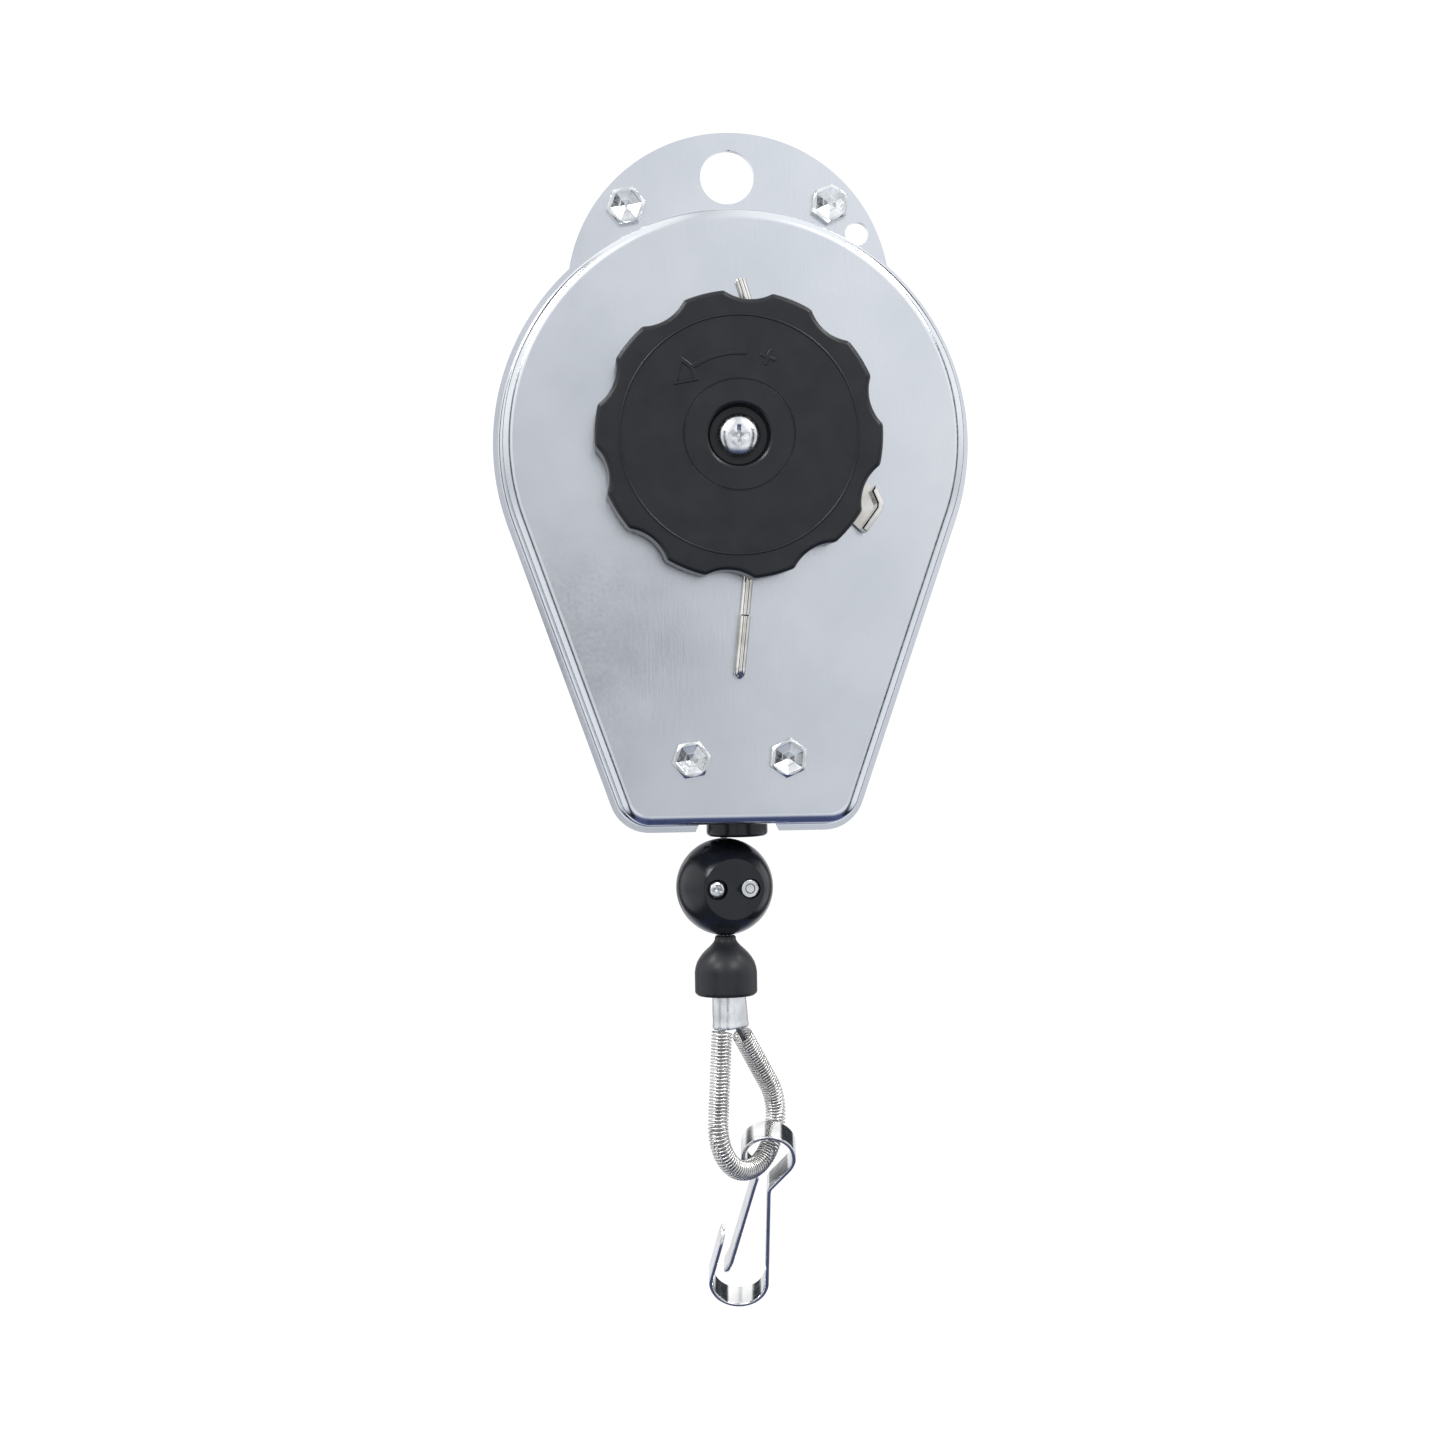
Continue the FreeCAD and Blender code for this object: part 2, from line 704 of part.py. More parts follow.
bore_in = size.arbor_radius + size.running_gap
turned(
    "drum_bush",
    "XY_Plane",
    [
        (bore_in, front),
        (bush_out, front),
        (bush_out, front + size.hub_length),
        (bore_in, front + size.hub_length),
    ],
)
lid = turned(
    "spring_lid",
    "XY_Plane",
    [
        (bore_in, back - 1.5),
        (pot - 0.1, back - 1.5),
        (pot - 0.1, back),
        (barrel, back),
        (barrel, back + size.lid_thick),
        (bore_in, back + size.lid_thick),
    ],
)
lid_holes = sketch_on(lid, "XZ_Plane")
LID_SCREWS = 4
lid_circle = barrel - size.drum_wall / 2
for index in range(LID_SCREWS):
    angle = math.radians(45 + 90 * index)
    circle(lid_holes, lid_circle * math.cos(angle), lid_circle * math.sin(angle), 1.25)
pocket(lid, lid_holes)
drum_holes = sketch_on(drum, "XZ_Plane", -back)
for index in range(LID_SCREWS):
    angle = math.radians(45 + 90 * index)
    circle(drum_holes, lid_circle * math.cos(angle), lid_circle * math.sin(angle), 1.25)
pocket(drum, drum_holes, 6.0, reverse=True)

lid_screws = []
for index in range(LID_SCREWS):
    angle = math.radians(45 + 90 * index)
    x = lid_circle * math.cos(angle)
    z = lid_circle * math.sin(angle) - size.hang_drop
    shank = cylinder(1.25, size.lid_thick + 5, x, back - 5, z, ALONG_Y)
    head = cylinder(2.2, 0.9, x, back + size.lid_thick, z, ALONG_Y)
    lid_screws.append(fuse(shank, head))
group("lid_screws", lid_screws)

crest = size.wound_radius + size.cable_radius
turn_points = [(barrel, -size.cable_radius)]
for index in range(int(size.turn_count.value)):
    middle = size.turn_pitch * index
    turn_points.append((size.wound_radius, middle - size.cable_radius))
    turn_points.append((crest, middle - 0.4))
    turn_points.append((crest, middle + 0.4))
    turn_points.append((size.wound_radius, middle + size.cable_radius))
    if index < int(size.turn_count.value) - 1:
        turn_points.append((barrel + 0.3, middle + size.turn_pitch / 2))
turn_points.append((barrel, size.turn_pitch * (size.turn_count - 1) + size.cable_radius))
turned("cable_turns", "XY_Plane", turn_points)


# ---- Main spring: half turns about two centres, one step apart ----

spring_start = float(size.arbor_radius) + 1.3
spring_end = float(pot) - float(size.spring_thick) / 2
half_turns = 2 * int(size.spring_turns.value)
step = (spring_end - spring_start) / half_turns


def spiral(offset):
    """Half turns that open out by one step each, counter-clockwise seen from the front."""
    arcs = []
    for index in range(half_turns):
        radius = spring_start + index * step + offset
        centre = Vector(step if index % 2 else 0, 0, 0)
        way = -1 if index % 2 else 1
        start = centre + Vector(way * radius, 0, 0)
        middle = centre + Vector(0, 0, way * radius)
        arcs.append(Part.Arc(start, middle, centre - Vector(way * radius, 0, 0)).toShape())
    return arcs


half_strip = float(size.spring_thick) / 2
inner_side = spiral(-half_strip)
outer_side = spiral(half_strip)
first_end = Part.makeLine(Vector(spring_start - half_strip, 0, 0), Vector(spring_start + half_strip, 0, 0))
last_end = Part.makeLine(Vector(spring_end - half_strip, 0, 0), Vector(spring_end + half_strip, 0, 0))
strip_wire = Part.Wire(Part.__sortEdges__(inner_side + [last_end] + outer_side + [first_end]))
strip = Part.Face(strip_wire).extrude(Vector(0, float(size.spring_width), 0))
strip_from = float(front + size.hub_length) + 0.6
strip.translate(Vector(0, strip_from, 0))
inner_tongue = Part.makeBox(2.6, float(size.spring_width), 2 * half_strip)
inner_tongue.translate(Vector(spring_start - 2.6, strip_from, -half_strip))
outer_tongue = Part.makeBox(2.2, 10.0, 2 * half_strip)
outer_tongue.translate(Vector(spring_end - 0.2, float(back) - 14, -half_strip))
formed("main_spring", strip.fuse([inner_tongue, outer_tongue]).removeSplitter())


# ---- Arbor with the parts that turn with it ----

shoulder_front = -(FRONT_IN - size.bush_flange_thick - 0.2)
shoulder_back = REAR_IN - size.bush_flange_thick - 0.2
wheel_at = -size.front_depth - size.wheel_back
wheel_front = wheel_at - size.wheel_thick
square_end = wheel_front - 8.9
groove = size.rear_depth + 0.4
arbor = turned(
    "arbor",
    "XY_Plane",
    [
        (0, square_end),
        (size.journal_radius, square_end),
        (size.journal_radius, shoulder_front),
        (size.arbor_radius, shoulder_front),
        (size.arbor_radius, shoulder_back),
        (size.journal_radius, shoulder_back),
        (size.journal_radius, groove),
        (size.journal_radius - 0.6, groove),
        (size.journal_radius - 0.6, groove + 1.1),
        (size.journal_radius, groove + 1.1),
        (size.journal_radius, groove + 2.6),
        (0, groove + 2.6),
    ],
)
half_square = size.square_flats / 2
flats = sketch_on(arbor, "XZ_Plane", -wheel_at)
circle(flats, 0, 0, size.journal_radius + 2)
polygon(flats, [(half_square, half_square), (-half_square, half_square), (-half_square, -half_square), (half_square, -half_square)])
pocket(arbor, flats, 14.0, reverse=True)
tapped = sketch_on(arbor, "XZ_Plane", -square_end)
circle(tapped, 0, 0, size.bolt_radius)
pocket(arbor, tapped, 11.5, reverse=False)
spring_slot = sketch_on(arbor, "XY_Plane", 0)
polygon(
    spring_slot,
    [
        (spring_start - 2.8, strip_from - 0.3),
        (size.arbor_radius + 1, strip_from - 0.3),
        (size.arbor_radius + 1, strip_from + size.spring_width + 0.3),
        (spring_start - 2.8, strip_from + size.spring_width + 0.3),
    ],
)
slot_cut = arbor.newObject("PartDesign::Pocket", "SpringSlot")
slot_cut.Profile = spring_slot
slot_cut.SideType = "Symmetric"
slot_cut.Length = 0.9
doc.recompute()

wheel = new_body("ratchet_wheel")
blank = sketch_on(wheel, "XZ_Plane", -wheel_at)
circle(blank, 0, 0, size.wheel_tip)
gap = half_square + size.running_gap
polygon(blank, [(gap, gap), (-gap, gap), (-gap, -gap), (gap, -gap)])
pad(wheel, blank, size.wheel_thick)
LEAN = 4.3
TOOTH = 30.0


def polar_point(radius, degrees):
    angle = math.radians(degrees)
    return radius * math.cos(angle), radius * math.sin(angle)


gullet = sketch_on(wheel, "XZ_Plane", -wheel_at)
outside = size.wheel_tip + 2
polygon(
    gullet,
    [
        polar_point(size.wheel_root, 0),
        polar_point(size.wheel_tip, LEAN),
        polar_point(outside, LEAN + 2),
        polar_point(outside, TOOTH + LEAN - 3),
        polar_point(size.wheel_tip, TOOTH + LEAN - 3),
    ],
)
gullet_cut = pocket(wheel, gullet, size.wheel_thick, reverse=True)
polar(wheel, gullet_cut, size.wheel_teeth, gullet)
place(wheel, 0, 0, ARBOR_DROP)
piece(wheel, "ratchet_wheel")

knob_front = -size.front_depth - size.knob_face
knob_rear = -size.front_depth - size.knob_rim
cavity = knob_front + size.knob_plate
knob = new_body("knob")
disc = sketch_on(knob, "XZ_Plane", -knob_rear)
circle(disc, 0, 0, size.knob_radius)
pad(knob, disc, size.knob_face - size.knob_rim)
hollow_at = size.knob_radius - size.hollow_depth + size.hollow_radius
hollow_turn = 23.0
scoop = sketch_on(knob, "XZ_Plane", -knob_rear)
circle(scoop, *polar_point(hollow_at, hollow_turn), size.hollow_radius)
scoop_cut = pocket(knob, scoop)
polar(knob, scoop_cut, size.knob_lobes, scoop)
outer = float(size.knob_radius)
reach = float(hollow_at)
bite = float(size.hollow_radius)
spread = math.degrees(math.acos((outer**2 + reach**2 - bite**2) / (2 * outer * reach)))
mid_y = float(knob_rear) - 8
corners = []
for lobe in range(int(size.knob_lobes.value)):
    for sign in (-1, 1):
        x, z = polar_point(outer, hollow_turn + 360 / float(size.knob_lobes) * lobe + sign * spread)
        corners.append(Vector(x, mid_y, z))
rounding(knob, size.lobe_round, corners)
lobe_x, lobe_z = polar_point(outer, hollow_turn + 180 / float(size.knob_lobes))
rounding(knob, 1.4, [Vector(lobe_x, float(knob_front), lobe_z)])
skirt = size.knob_radius - size.hollow_depth - size.knob_wall
seat_sketch = sketch_on(knob, "XZ_Plane", -knob_rear)
circle(seat_sketch, 0, 0, skirt)
pocket(knob, seat_sketch, knob_rear - wheel_front, reverse=True)
cavity_sketch = sketch_on(knob, "XZ_Plane", -wheel_front)
circle(cavity_sketch, 0, 0, skirt)
circle(cavity_sketch, 0, 0, size.hub_radius)
pocket(knob, cavity_sketch, wheel_front - cavity, reverse=True)
socket = sketch_on(knob, "XZ_Plane", -wheel_front)
polygon(socket, [(gap, gap), (-gap, gap), (-gap, -gap), (gap, -gap)])
pocket(knob, socket, wheel_front - square_end + 0.5, reverse=True)
recess = sketch_on(knob, "XZ_Plane", -knob_front)
circle(recess, 0, 0, size.recess_radius)
pocket(knob, recess, size.recess_depth, reverse=False)
screw_bore = sketch_on(knob, "XZ_Plane", -knob_front)
circle(screw_bore, 0, 0, size.bolt_radius + 0.2)
pocket(knob, screw_bore, size.recess_depth + 6, reverse=False)
for line in (size.ring_outer, size.ring_inner):
    groove_sketch = sketch_on(knob, "XZ_Plane", -knob_front)
    circle(groove_sketch, 0, 0, line + size.ring_line / 2)
    circle(groove_sketch, 0, 0, line - size.ring_line / 2)
    pocket(knob, groove_sketch, 0.3, reverse=False)
marks = sketch_on(knob, "XZ_Plane", -knob_front)
ARROW_RADIUS = 22.9
shaft = [polar_point(ARROW_RADIUS + 0.7, 84 + 10 * index) for index in range(5)]
shaft += [polar_point(ARROW_RADIUS - 0.7, 124 - 10 * index) for index in range(5)]
polygon(marks, shaft)
head = [polar_point(ARROW_RADIUS + 4.2, 126), polar_point(ARROW_RADIUS, 143)]
polygon(marks, head + [polar_point(ARROW_RADIUS - 4.2, 126)])
a = 2.4
b = 0.75
plus = [(a, b), (b, b), (b, a), (-b, a), (-b, b), (-a, b)]
plus += [(-x, -z) for x, z in plus]
plus_x, plus_z = polar_point(ARROW_RADIUS, 68.8)
polygon(marks, [(plus_x + x, plus_z + z) for x, z in plus])
pad(knob, marks, size.mark_height)
place(knob, 0, 0, ARBOR_DROP)
piece(knob, "knob")

head_seat = knob_front + size.recess_depth
screw = turned(
    "knob_screw",
    "XY_Plane",
    [
        (0, head_seat - 3.7),
        (size.screw_head - 2.2, head_seat - 3.6),
        (size.screw_head - 0.5, head_seat - 2.6),
        (size.screw_head, head_seat - 1.2),
        (size.screw_head, head_seat),
        (size.bolt_radius, head_seat),
        (size.bolt_radius, square_end + 10),
        (0, square_end + 10),
    ],
)
a = 3.0
b = 0.65
cross = [(a, b), (b, b), (b, a), (-b, a), (-b, b), (-a, b)]
cross += [(-x, -z) for x, z in cross]
drive = sketch_on(screw, "XZ_Plane", -head_seat + 1.4)
polygon(drive, cross)
pocket(screw, drive, 4.0, reverse=True)

ring_body = turned(
    "retaining_ring",
    "XY_Plane",
    [
        (size.journal_radius - 0.55, groove + 0.05),
        (size.journal_radius + 2.2, groove + 0.05),
        (size.journal_radius + 2.2, groove + 1.05),
        (size.journal_radius - 0.55, groove + 1.05),
    ],
)
ring_gap = sketch_on(ring_body, "XZ_Plane", -groove)
polygon(ring_gap, [(-1.6, 0), (1.6, 0), (2.6, 9), (-2.6, 9)])
pocket(ring_body, ring_gap)


# ---- Pawl on its pin, and the release wire in its saddle ----

pawl_at = -size.front_depth - size.pawl_back
px = size.pawl_pin_side
pz = -size.pawl_pin_drop
pawl = new_body("pawl")
boss = sketch_on(pawl, "XZ_Plane", -pawl_at)
circle(boss, px, pz, size.pawl_boss)
pad(pawl, boss, size.pawl_thick)
lever = sketch_on(pawl, "XZ_Plane", -pawl_at)
polygon(
    lever,
    [
        (14.8, 0.65),
        (17.45, 1.97),
        (17.7, -3.0),
        (17.4, -9.0),
        (px, pz),
        (27.0, -18.2),
        (35.2, -26.1),
        (36.6, -27.2),
        (41.5, -20.6),
        (41.6, -18.4),
        (39.3, -13.9),
        (37.2, -12.8),
        (26.4, -9.6),
        (21.6, -1.0),
        (20.2, 6.5),
        (14.6, 19.6),
        (12.4, 18.8),
        (17.2, 6.2),
        (14.9, 4.0),
    ],
)
pad(pawl, lever, size.pawl_thick)
finger = sketch_on(pawl, "XZ_Plane", -pawl_at)
polygon(
    finger,
    [
        (39.3, -13.9),
        (41.6, -18.4),
        (41.5, -20.6),
        (36.6, -27.2),
        (35.2, -26.1),
        (39.6, -20.1),
        (39.7, -18.9),
        (38.2, -15.4),
    ],
)
pad(pawl, finger, size.pawl_lug)
heel = sketch_on(pawl, "XZ_Plane", -pawl_at)
polygon(heel, [(12.4, 18.8), (13.4, 16.2), (15.7, 17.0), (14.6, 19.6)])
pad(pawl, heel, size.pawl_back - 0.5, reverse=True)
pivot = sketch_on(pawl, "XZ_Plane", -pawl_at)
circle(pivot, px, pz, size.pawl_pin_radius + size.running_gap)
pocket(pawl, pivot)
place(pawl, 0, 0, ARBOR_DROP)
piece(pawl, "pawl")

pawl_front = pawl_at - size.pawl_thick
turned(
    "pawl_pin",
    "XY_Plane",
    [
        (0, -FRONT_IN + 1.0),
        (size.pawl_pin_radius + 1.5, -FRONT_IN + 1.0),
        (size.pawl_pin_radius + 1.5, -FRONT_IN),
        (size.pawl_pin_radius, -FRONT_IN),
        (size.pawl_pin_radius, -size.front_depth),
        (size.pawl_pin_radius + 1.6, -size.front_depth),
        (size.pawl_pin_radius + 1.6, pawl_at + 0.1),
        (size.pawl_pin_radius, pawl_at + 0.1),
        (size.pawl_pin_radius, pawl_front - 0.1),
        (size.pawl_pin_radius + 1.6, pawl_front - 0.1),
        (size.pawl_pin_radius + 1.2, pawl_front - 1.2),
        (0, pawl_front - 1.2),
    ],
    x=px,
    z=pz - size.hang_drop,
)

coil_in = size.pawl_pin_radius + 1.9
coil_out = coil_in + size.coil_wire
coil_back = -size.front_depth - 0.3
coil_points = [(coil_in, coil_back)]
for index in range(COILS):
    near = coil_back - size.coil_wire * index
    coil_points.append((coil_out - 0.2, near))
    coil_points.append((coil_out, near - 0.2))
    coil_points.append((coil_out, near - 0.4))
coil_points.append((coil_out - 0.2, coil_back - size.coil_wire * COILS))
coil_points.append((coil_in, coil_back - size.coil_wire * COILS))
coil = turned("spring_coil", "XY_Plane", coil_points, x=px, z=pz - size.hang_drop)
pieces.remove(coil)
half_wire = size.coil_wire / 2
leg_line = coil_in + half_wire
arm_leg = cylinder(half_wire, size.spring_leg, px, coil_back - half_wire, pz - leg_line - size.hang_drop, ALONG_X)
wall_leg_y = coil_back - half_wire - size.coil_wire * (COILS - 1)
wall_leg_z = pz - size.spring_leg - size.hang_drop
wall_leg = cylinder(half_wire, size.spring_leg, px - leg_line, wall_leg_y, wall_leg_z)
piece(fuse(coil, arm_leg, wall_leg), "pawl_spring")

wire_line = -float(size.front_depth) - float(size.wire_gap) - float(size.wire_radius)
hook_line = wire_line - 4.4
wire_path = rounded_path(
    [
        Vector(2.2, wire_line, 46.0),
        Vector(9.8, wire_line, 21.0),
        Vector(0.1, wire_line, -67.0),
        Vector(0.1, hook_line, -67.0),
        Vector(2.0, hook_line, -50.0),
    ],
    [7.0, 2.19, 2.19],
)
formed("release_wire", tube(wire_path, size.wire_radius))

slot = size.wire_radius + 0.9
crown = -size.front_depth - size.wire_gap - 2 * size.wire_radius - 0.15
foot = size.rivet_side + 2.8
saddle = new_body("wire_saddle")
omega = sketch_on(saddle, "XY_Plane")
polygon(
    omega,
    [
        (-foot, -size.front_depth),
        (-foot, -size.front_depth - 1),
        (-slot - 1, -size.front_depth - 1),
        (-slot - 1, crown - 1),
        (slot + 1, crown - 1),
        (slot + 1, -size.front_depth - 1),
        (foot, -size.front_depth - 1),
        (foot, -size.front_depth),
        (slot, -size.front_depth),
        (slot, crown),
        (-slot, crown),
        (-slot, -size.front_depth),
    ],
)
pad(saddle, omega, size.saddle_width, middle=True)
saddle_holes = sketch_on(saddle, "XZ_Plane")
for side in (-1, 1):
    circle(saddle_holes, side * size.rivet_side, 0, size.rivet_radius)
pocket(saddle, saddle_holes)
saddle_z = -size.saddle_drop - size.hang_drop
place(saddle, size.saddle_side, 0, saddle_z, Rotation(Vector(0, 1, 0), SADDLE_LEAN))
piece(saddle, "wire_saddle")

rivets = []
for side in (-1, 1):
    x = size.saddle_side + side * size.rivet_side * SADDLE_COS
    z = saddle_z - side * size.rivet_side * SADDLE_SIN
    outer_seat = -size.front_depth - 1
    shank = cylinder(size.rivet_radius, size.sheet + 1, x, outer_seat, z, ALONG_Y)
    head = cylinder(2.6, 0.9, x, outer_seat - 0.9, z, ALONG_Y)
    tail = cylinder(2.4, 0.7, x, -FRONT_IN, z, ALONG_Y)
    rivets.append(fuse(shank, head, tail))
group("saddle_rivets", rivets)


# ---- Cable from the drum to the stop ball; heights are about the arbor axis ----

line = float(size.cable_side)
lip = float(guide_top) - 1.5
distance = math.hypot(line, lip)
swing = math.asin(float(size.wound_radius) / distance)
away = math.atan2(-lip, -line) + swing
run = math.sqrt(distance**2 - float(size.wound_radius) ** 2)
clear_of_turns = run - 14.7
leaves = Vector(line + clear_of_turns * math.cos(away), 0, lip + clear_of_turns * math.sin(away))
ball_top = float(size.ball_drop) - float(size.ball_radius)
split = float(guide_low) + 11.7
guide_run = rounded_path([leaves, Vector(line, 0, lip), Vector(line, 0, split)], [6.0])
formed("cable_run", tube(guide_run, size.cable_radius))
tail_length = ball_top + split - 0.2
cylinder_tail = cylinder(size.cable_radius, tail_length, size.cable_side, 0, -ball_top - size.hang_drop + 0.2)
piece(cylinder_tail, "cable_tail")

ball_z = -size.ball_drop - size.hang_drop
ball_roll = Rotation(Vector(0, 0, 1), float(size.ball_turn))
half_gap = 0.2


def turned_about_cable(side, depth):
    """A point beside the ball centre, turned with the ball."""
    angle = math.radians(float(size.ball_turn))
    x = size.cable_side + side * math.cos(angle) - depth * math.sin(angle)
    return x, side * math.sin(angle) + depth * math.cos(angle)


def ball_half(label, ahead):
    """Half of the stop ball; ahead is -1 for the front half and 1 for the rear half."""
    body = new_body(label)
    outline = sketch_on(body, "XY_Plane")
    r = float(size.ball_radius)
    outline.addGeometry(Part.ArcOfCircle(Part.Circle(Vector(0, 0, 0), Vector(0, 0, 1), r), -math.pi / 2, math.pi / 2))
    outline.addGeometry(Part.LineSegment(Vector(0, r, 0), Vector(0, -r, 0)))
    outline.addConstraint(Sketcher.Constraint("Coincident", 0, 3, -1, 1))
    outline.addConstraint(Sketcher.Constraint("Coincident", 0, 2, 1, 1))
    outline.addConstraint(Sketcher.Constraint("Coincident", 1, 2, 0, 1))
    outline.addConstraint(Sketcher.Constraint("PointOnObject", 0, 1, -2))
    hold(outline, "Radius", size.ball_radius, 0)
    spin = body.newObject("PartDesign::Revolution", "Sphere")
    spin.Profile = outline
    spin.ReferenceAxis = (outline, ["V_Axis"])
    spin.Angle = 360
    doc.recompute()
    away_side = sketch_on(body, "XZ_Plane", half_gap if ahead < 0 else -half_gap)
    circle(away_side, 0, 0, size.ball_radius + 1)
    pocket(body, away_side, size.ball_radius + 2, reverse=ahead > 0)
    flat = sketch_on(body, "XZ_Plane", -ahead * size.ball_flat)
    circle(flat, 0, 0, size.ball_radius)
    pocket(body, flat, size.ball_radius, reverse=ahead < 0)
    rope = sketch_on(body, "XY_Plane")
    circle(rope, 0, 0, size.cable_radius)
    pocket(body, rope)
    through = sketch_on(body, "XZ_Plane")
    for side in (-1, 1):
        circle(through, side * size.ball_screw_side, 0, size.ball_screw + 0.1)
    pocket(body, through)
    sunk = sketch_on(body, "XZ_Plane", -ahead * (size.ball_flat - 2.4))
    for side in (-1, 1):
        circle(sunk, side * size.ball_screw_side, 0, size.ball_recess)
    pocket(body, sunk, 6.0, reverse=ahead < 0)
    place(body, size.cable_side, 0, ball_z, ball_roll)
    return piece(body, label)


ball_half("ball_front", -1)
ball_half("ball_rear", 1)

seat = size.ball_flat - 2.4
screws = []
nuts = []
for side, ahead in ((-1, -1), (1, 1)):
    x, y = turned_about_cable(side * size.ball_screw_side, ahead * seat)
    face_out = ball_roll.multiply(FORWARD if ahead < 0 else ALONG_Y)
    face_in = ball_roll.multiply(ALONG_Y if ahead < 0 else FORWARD)
    shank = cylinder(size.ball_screw, 2 * seat + 2.2, x, y, ball_z, face_in)
    cap = cylinder(size.ball_recess - 0.2, 2.0, x, y, ball_z, face_out)
    slot_box = doc.addObject("Part::Box", "DriveSlot")
    slot_box.Length = 3.6
    slot_box.Width = 0.8
    slot_box.Height = 1.2
    slot_box.Placement = Placement(spot(x, y, ball_z), face_out).multiply(Placement(Vector(-1.8, -0.4, 1.0), Rotation()))
    cross_box = doc.addObject("Part::Box", "DriveSlot")
    cross_box.Length = 0.8
    cross_box.Width = 3.6
    cross_box.Height = 1.2
    cross_box.Placement = Placement(spot(x, y, ball_z), face_out).multiply(Placement(Vector(-0.4, -1.8, 1.0), Rotation()))
    screws.append(cut(fuse(shank, cap), fuse(slot_box, cross_box)))
    x, y = turned_about_cable(side * size.ball_screw_side, -ahead * seat)
    nut_blank = chamfered_hexagon(2 * (size.ball_recess - 0.45), 1.8, x, y, ball_z, face_in)
    nuts.append(cut(nut_blank, cylinder(size.ball_screw, 1.8, x, y, ball_z, face_in)))
group("ball_screws", screws)
group("ball_nuts", nuts)

cap_top = -size.ball_drop - size.ball_radius - 0.1
rim_low = cap_top - size.cap_tall
cap_body = turned(
    "rope_cap",
    "XZ_Plane",
    [
        (size.cable_radius, cap_top),
        (size.cap_neck, cap_top),
        (size.cap_neck + 0.5, cap_top - 1.6),
        (size.cap_neck + 3.4, cap_top - 4.6),
        (size.cap_radius - 0.7, cap_top - 7.6),
        (size.cap_radius, cap_top - 10.5),
        (size.cap_radius, rim_low + 1.0),
        (size.cap_radius - 1.0, rim_low),
        (size.cap_radius - 1.6, rim_low),
        (size.cap_radius - 1.6, cap_top - 10.0),
        (size.cable_radius, cap_top - 10.0),
    ],
    x=size.cable_side,
)


# ---- Rope loop, its ferrule and its spring guard, in a plane turned about the cable ----

LOOP_TURN = Rotation(Vector(0, 0, 1), float(size.loop_turn))
LEFT_LEAN = math.radians(5.5)
RIGHT_LEAN = math.radians(39.9)
ferrule_low = float(rim_low - size.ferrule_drop)
centre = Vector(float(size.loop_side), 0, ferrule_low - float(size.loop_centre_drop))
bow = float(size.loop_radius)
left_foot = centre + Vector(-math.cos(LEFT_LEAN), 0, math.sin(LEFT_LEAN)) * bow
right_foot = centre + Vector(math.cos(RIGHT_LEAN), 0, math.sin(RIGHT_LEAN)) * bow
left_up = Vector(math.sin(LEFT_LEAN), 0, math.cos(LEFT_LEAN))
right_up = Vector(-math.sin(RIGHT_LEAN), 0, math.cos(RIGHT_LEAN))
bottom = centre - Vector(0, 0, bow)
ferrule_high = float(rim_low) + 5.6
strand = 3.3


def up_to(foot, up, height):
    """The point where a straight run of the loop reaches a height."""
    return foot + up * ((height - foot.z) / up.z)


def loop_wire(left_edges, right_edges):
    arc = Part.Arc(left_foot, bottom, right_foot).toShape()
    return Part.Wire(Part.__sortEdges__(left_edges + [arc] + right_edges))


left_corner = up_to(left_foot, left_up, ferrule_low + 4.6)
right_corner = up_to(right_foot, right_up, ferrule_low + 2.8)
down_side = rounded_path([Vector(0, 0, -ball_top), Vector(0, 0, ferrule_low + 11.6), left_corner, left_foot], [8.0, 8.0])
up_side = rounded_path([right_foot, right_corner, Vector(right_corner.x, 0, ferrule_high)], [4.0])
rope = tube(loop_wire(down_side.Edges, up_side.Edges), size.cable_radius)
rope_piece = formed("load_cable", rope, size.cable_side, turn=LOOP_TURN)


def stadium(middle, long, height):
    """A slot outline across the cable, its long side in the loop plane."""
    half = float(size.ferrule_half)
    reach = long / 2 - half
    a = Vector(middle - reach, -half, height)
    b = Vector(middle + reach, -half, height)
    c = Vector(middle + reach, half, height)
    d = Vector(middle - reach, half, height)
    right_end = Part.Arc(b, Vector(middle + reach + half, 0, height), c).toShape()
    left_end = Part.Arc(d, Vector(middle - reach - half, 0, height), a).toShape()
    return Part.Wire([Part.makeLine(a, b), right_end, Part.makeLine(c, d), left_end])


sleeve = Part.makeLoft([stadium(1.0, 11.2, ferrule_high), stadium(2.1, 14.1, ferrule_low)], True)
formed("ferrule", sleeve.cut(rope), size.cable_side, turn=LOOP_TURN)

guard_left = up_to(left_foot, left_up, ferrule_low - 0.4)
guard_right = up_to(right_foot, right_up, ferrule_low - 2.2)
guard_wire = loop_wire(
    [Part.LineSegment(guard_left, left_foot).toShape()],
    [Part.LineSegment(right_foot, guard_right).toShape()],
)
guard = tube(guard_wire, size.guard_radius).cut(tube(guard_wire, size.guard_radius - size.guard_wire))
formed("loop_guard", guard, size.cable_side, turn=LOOP_TURN)


# ---- Snap hook, bent from strip; drawn about the ring centre ----

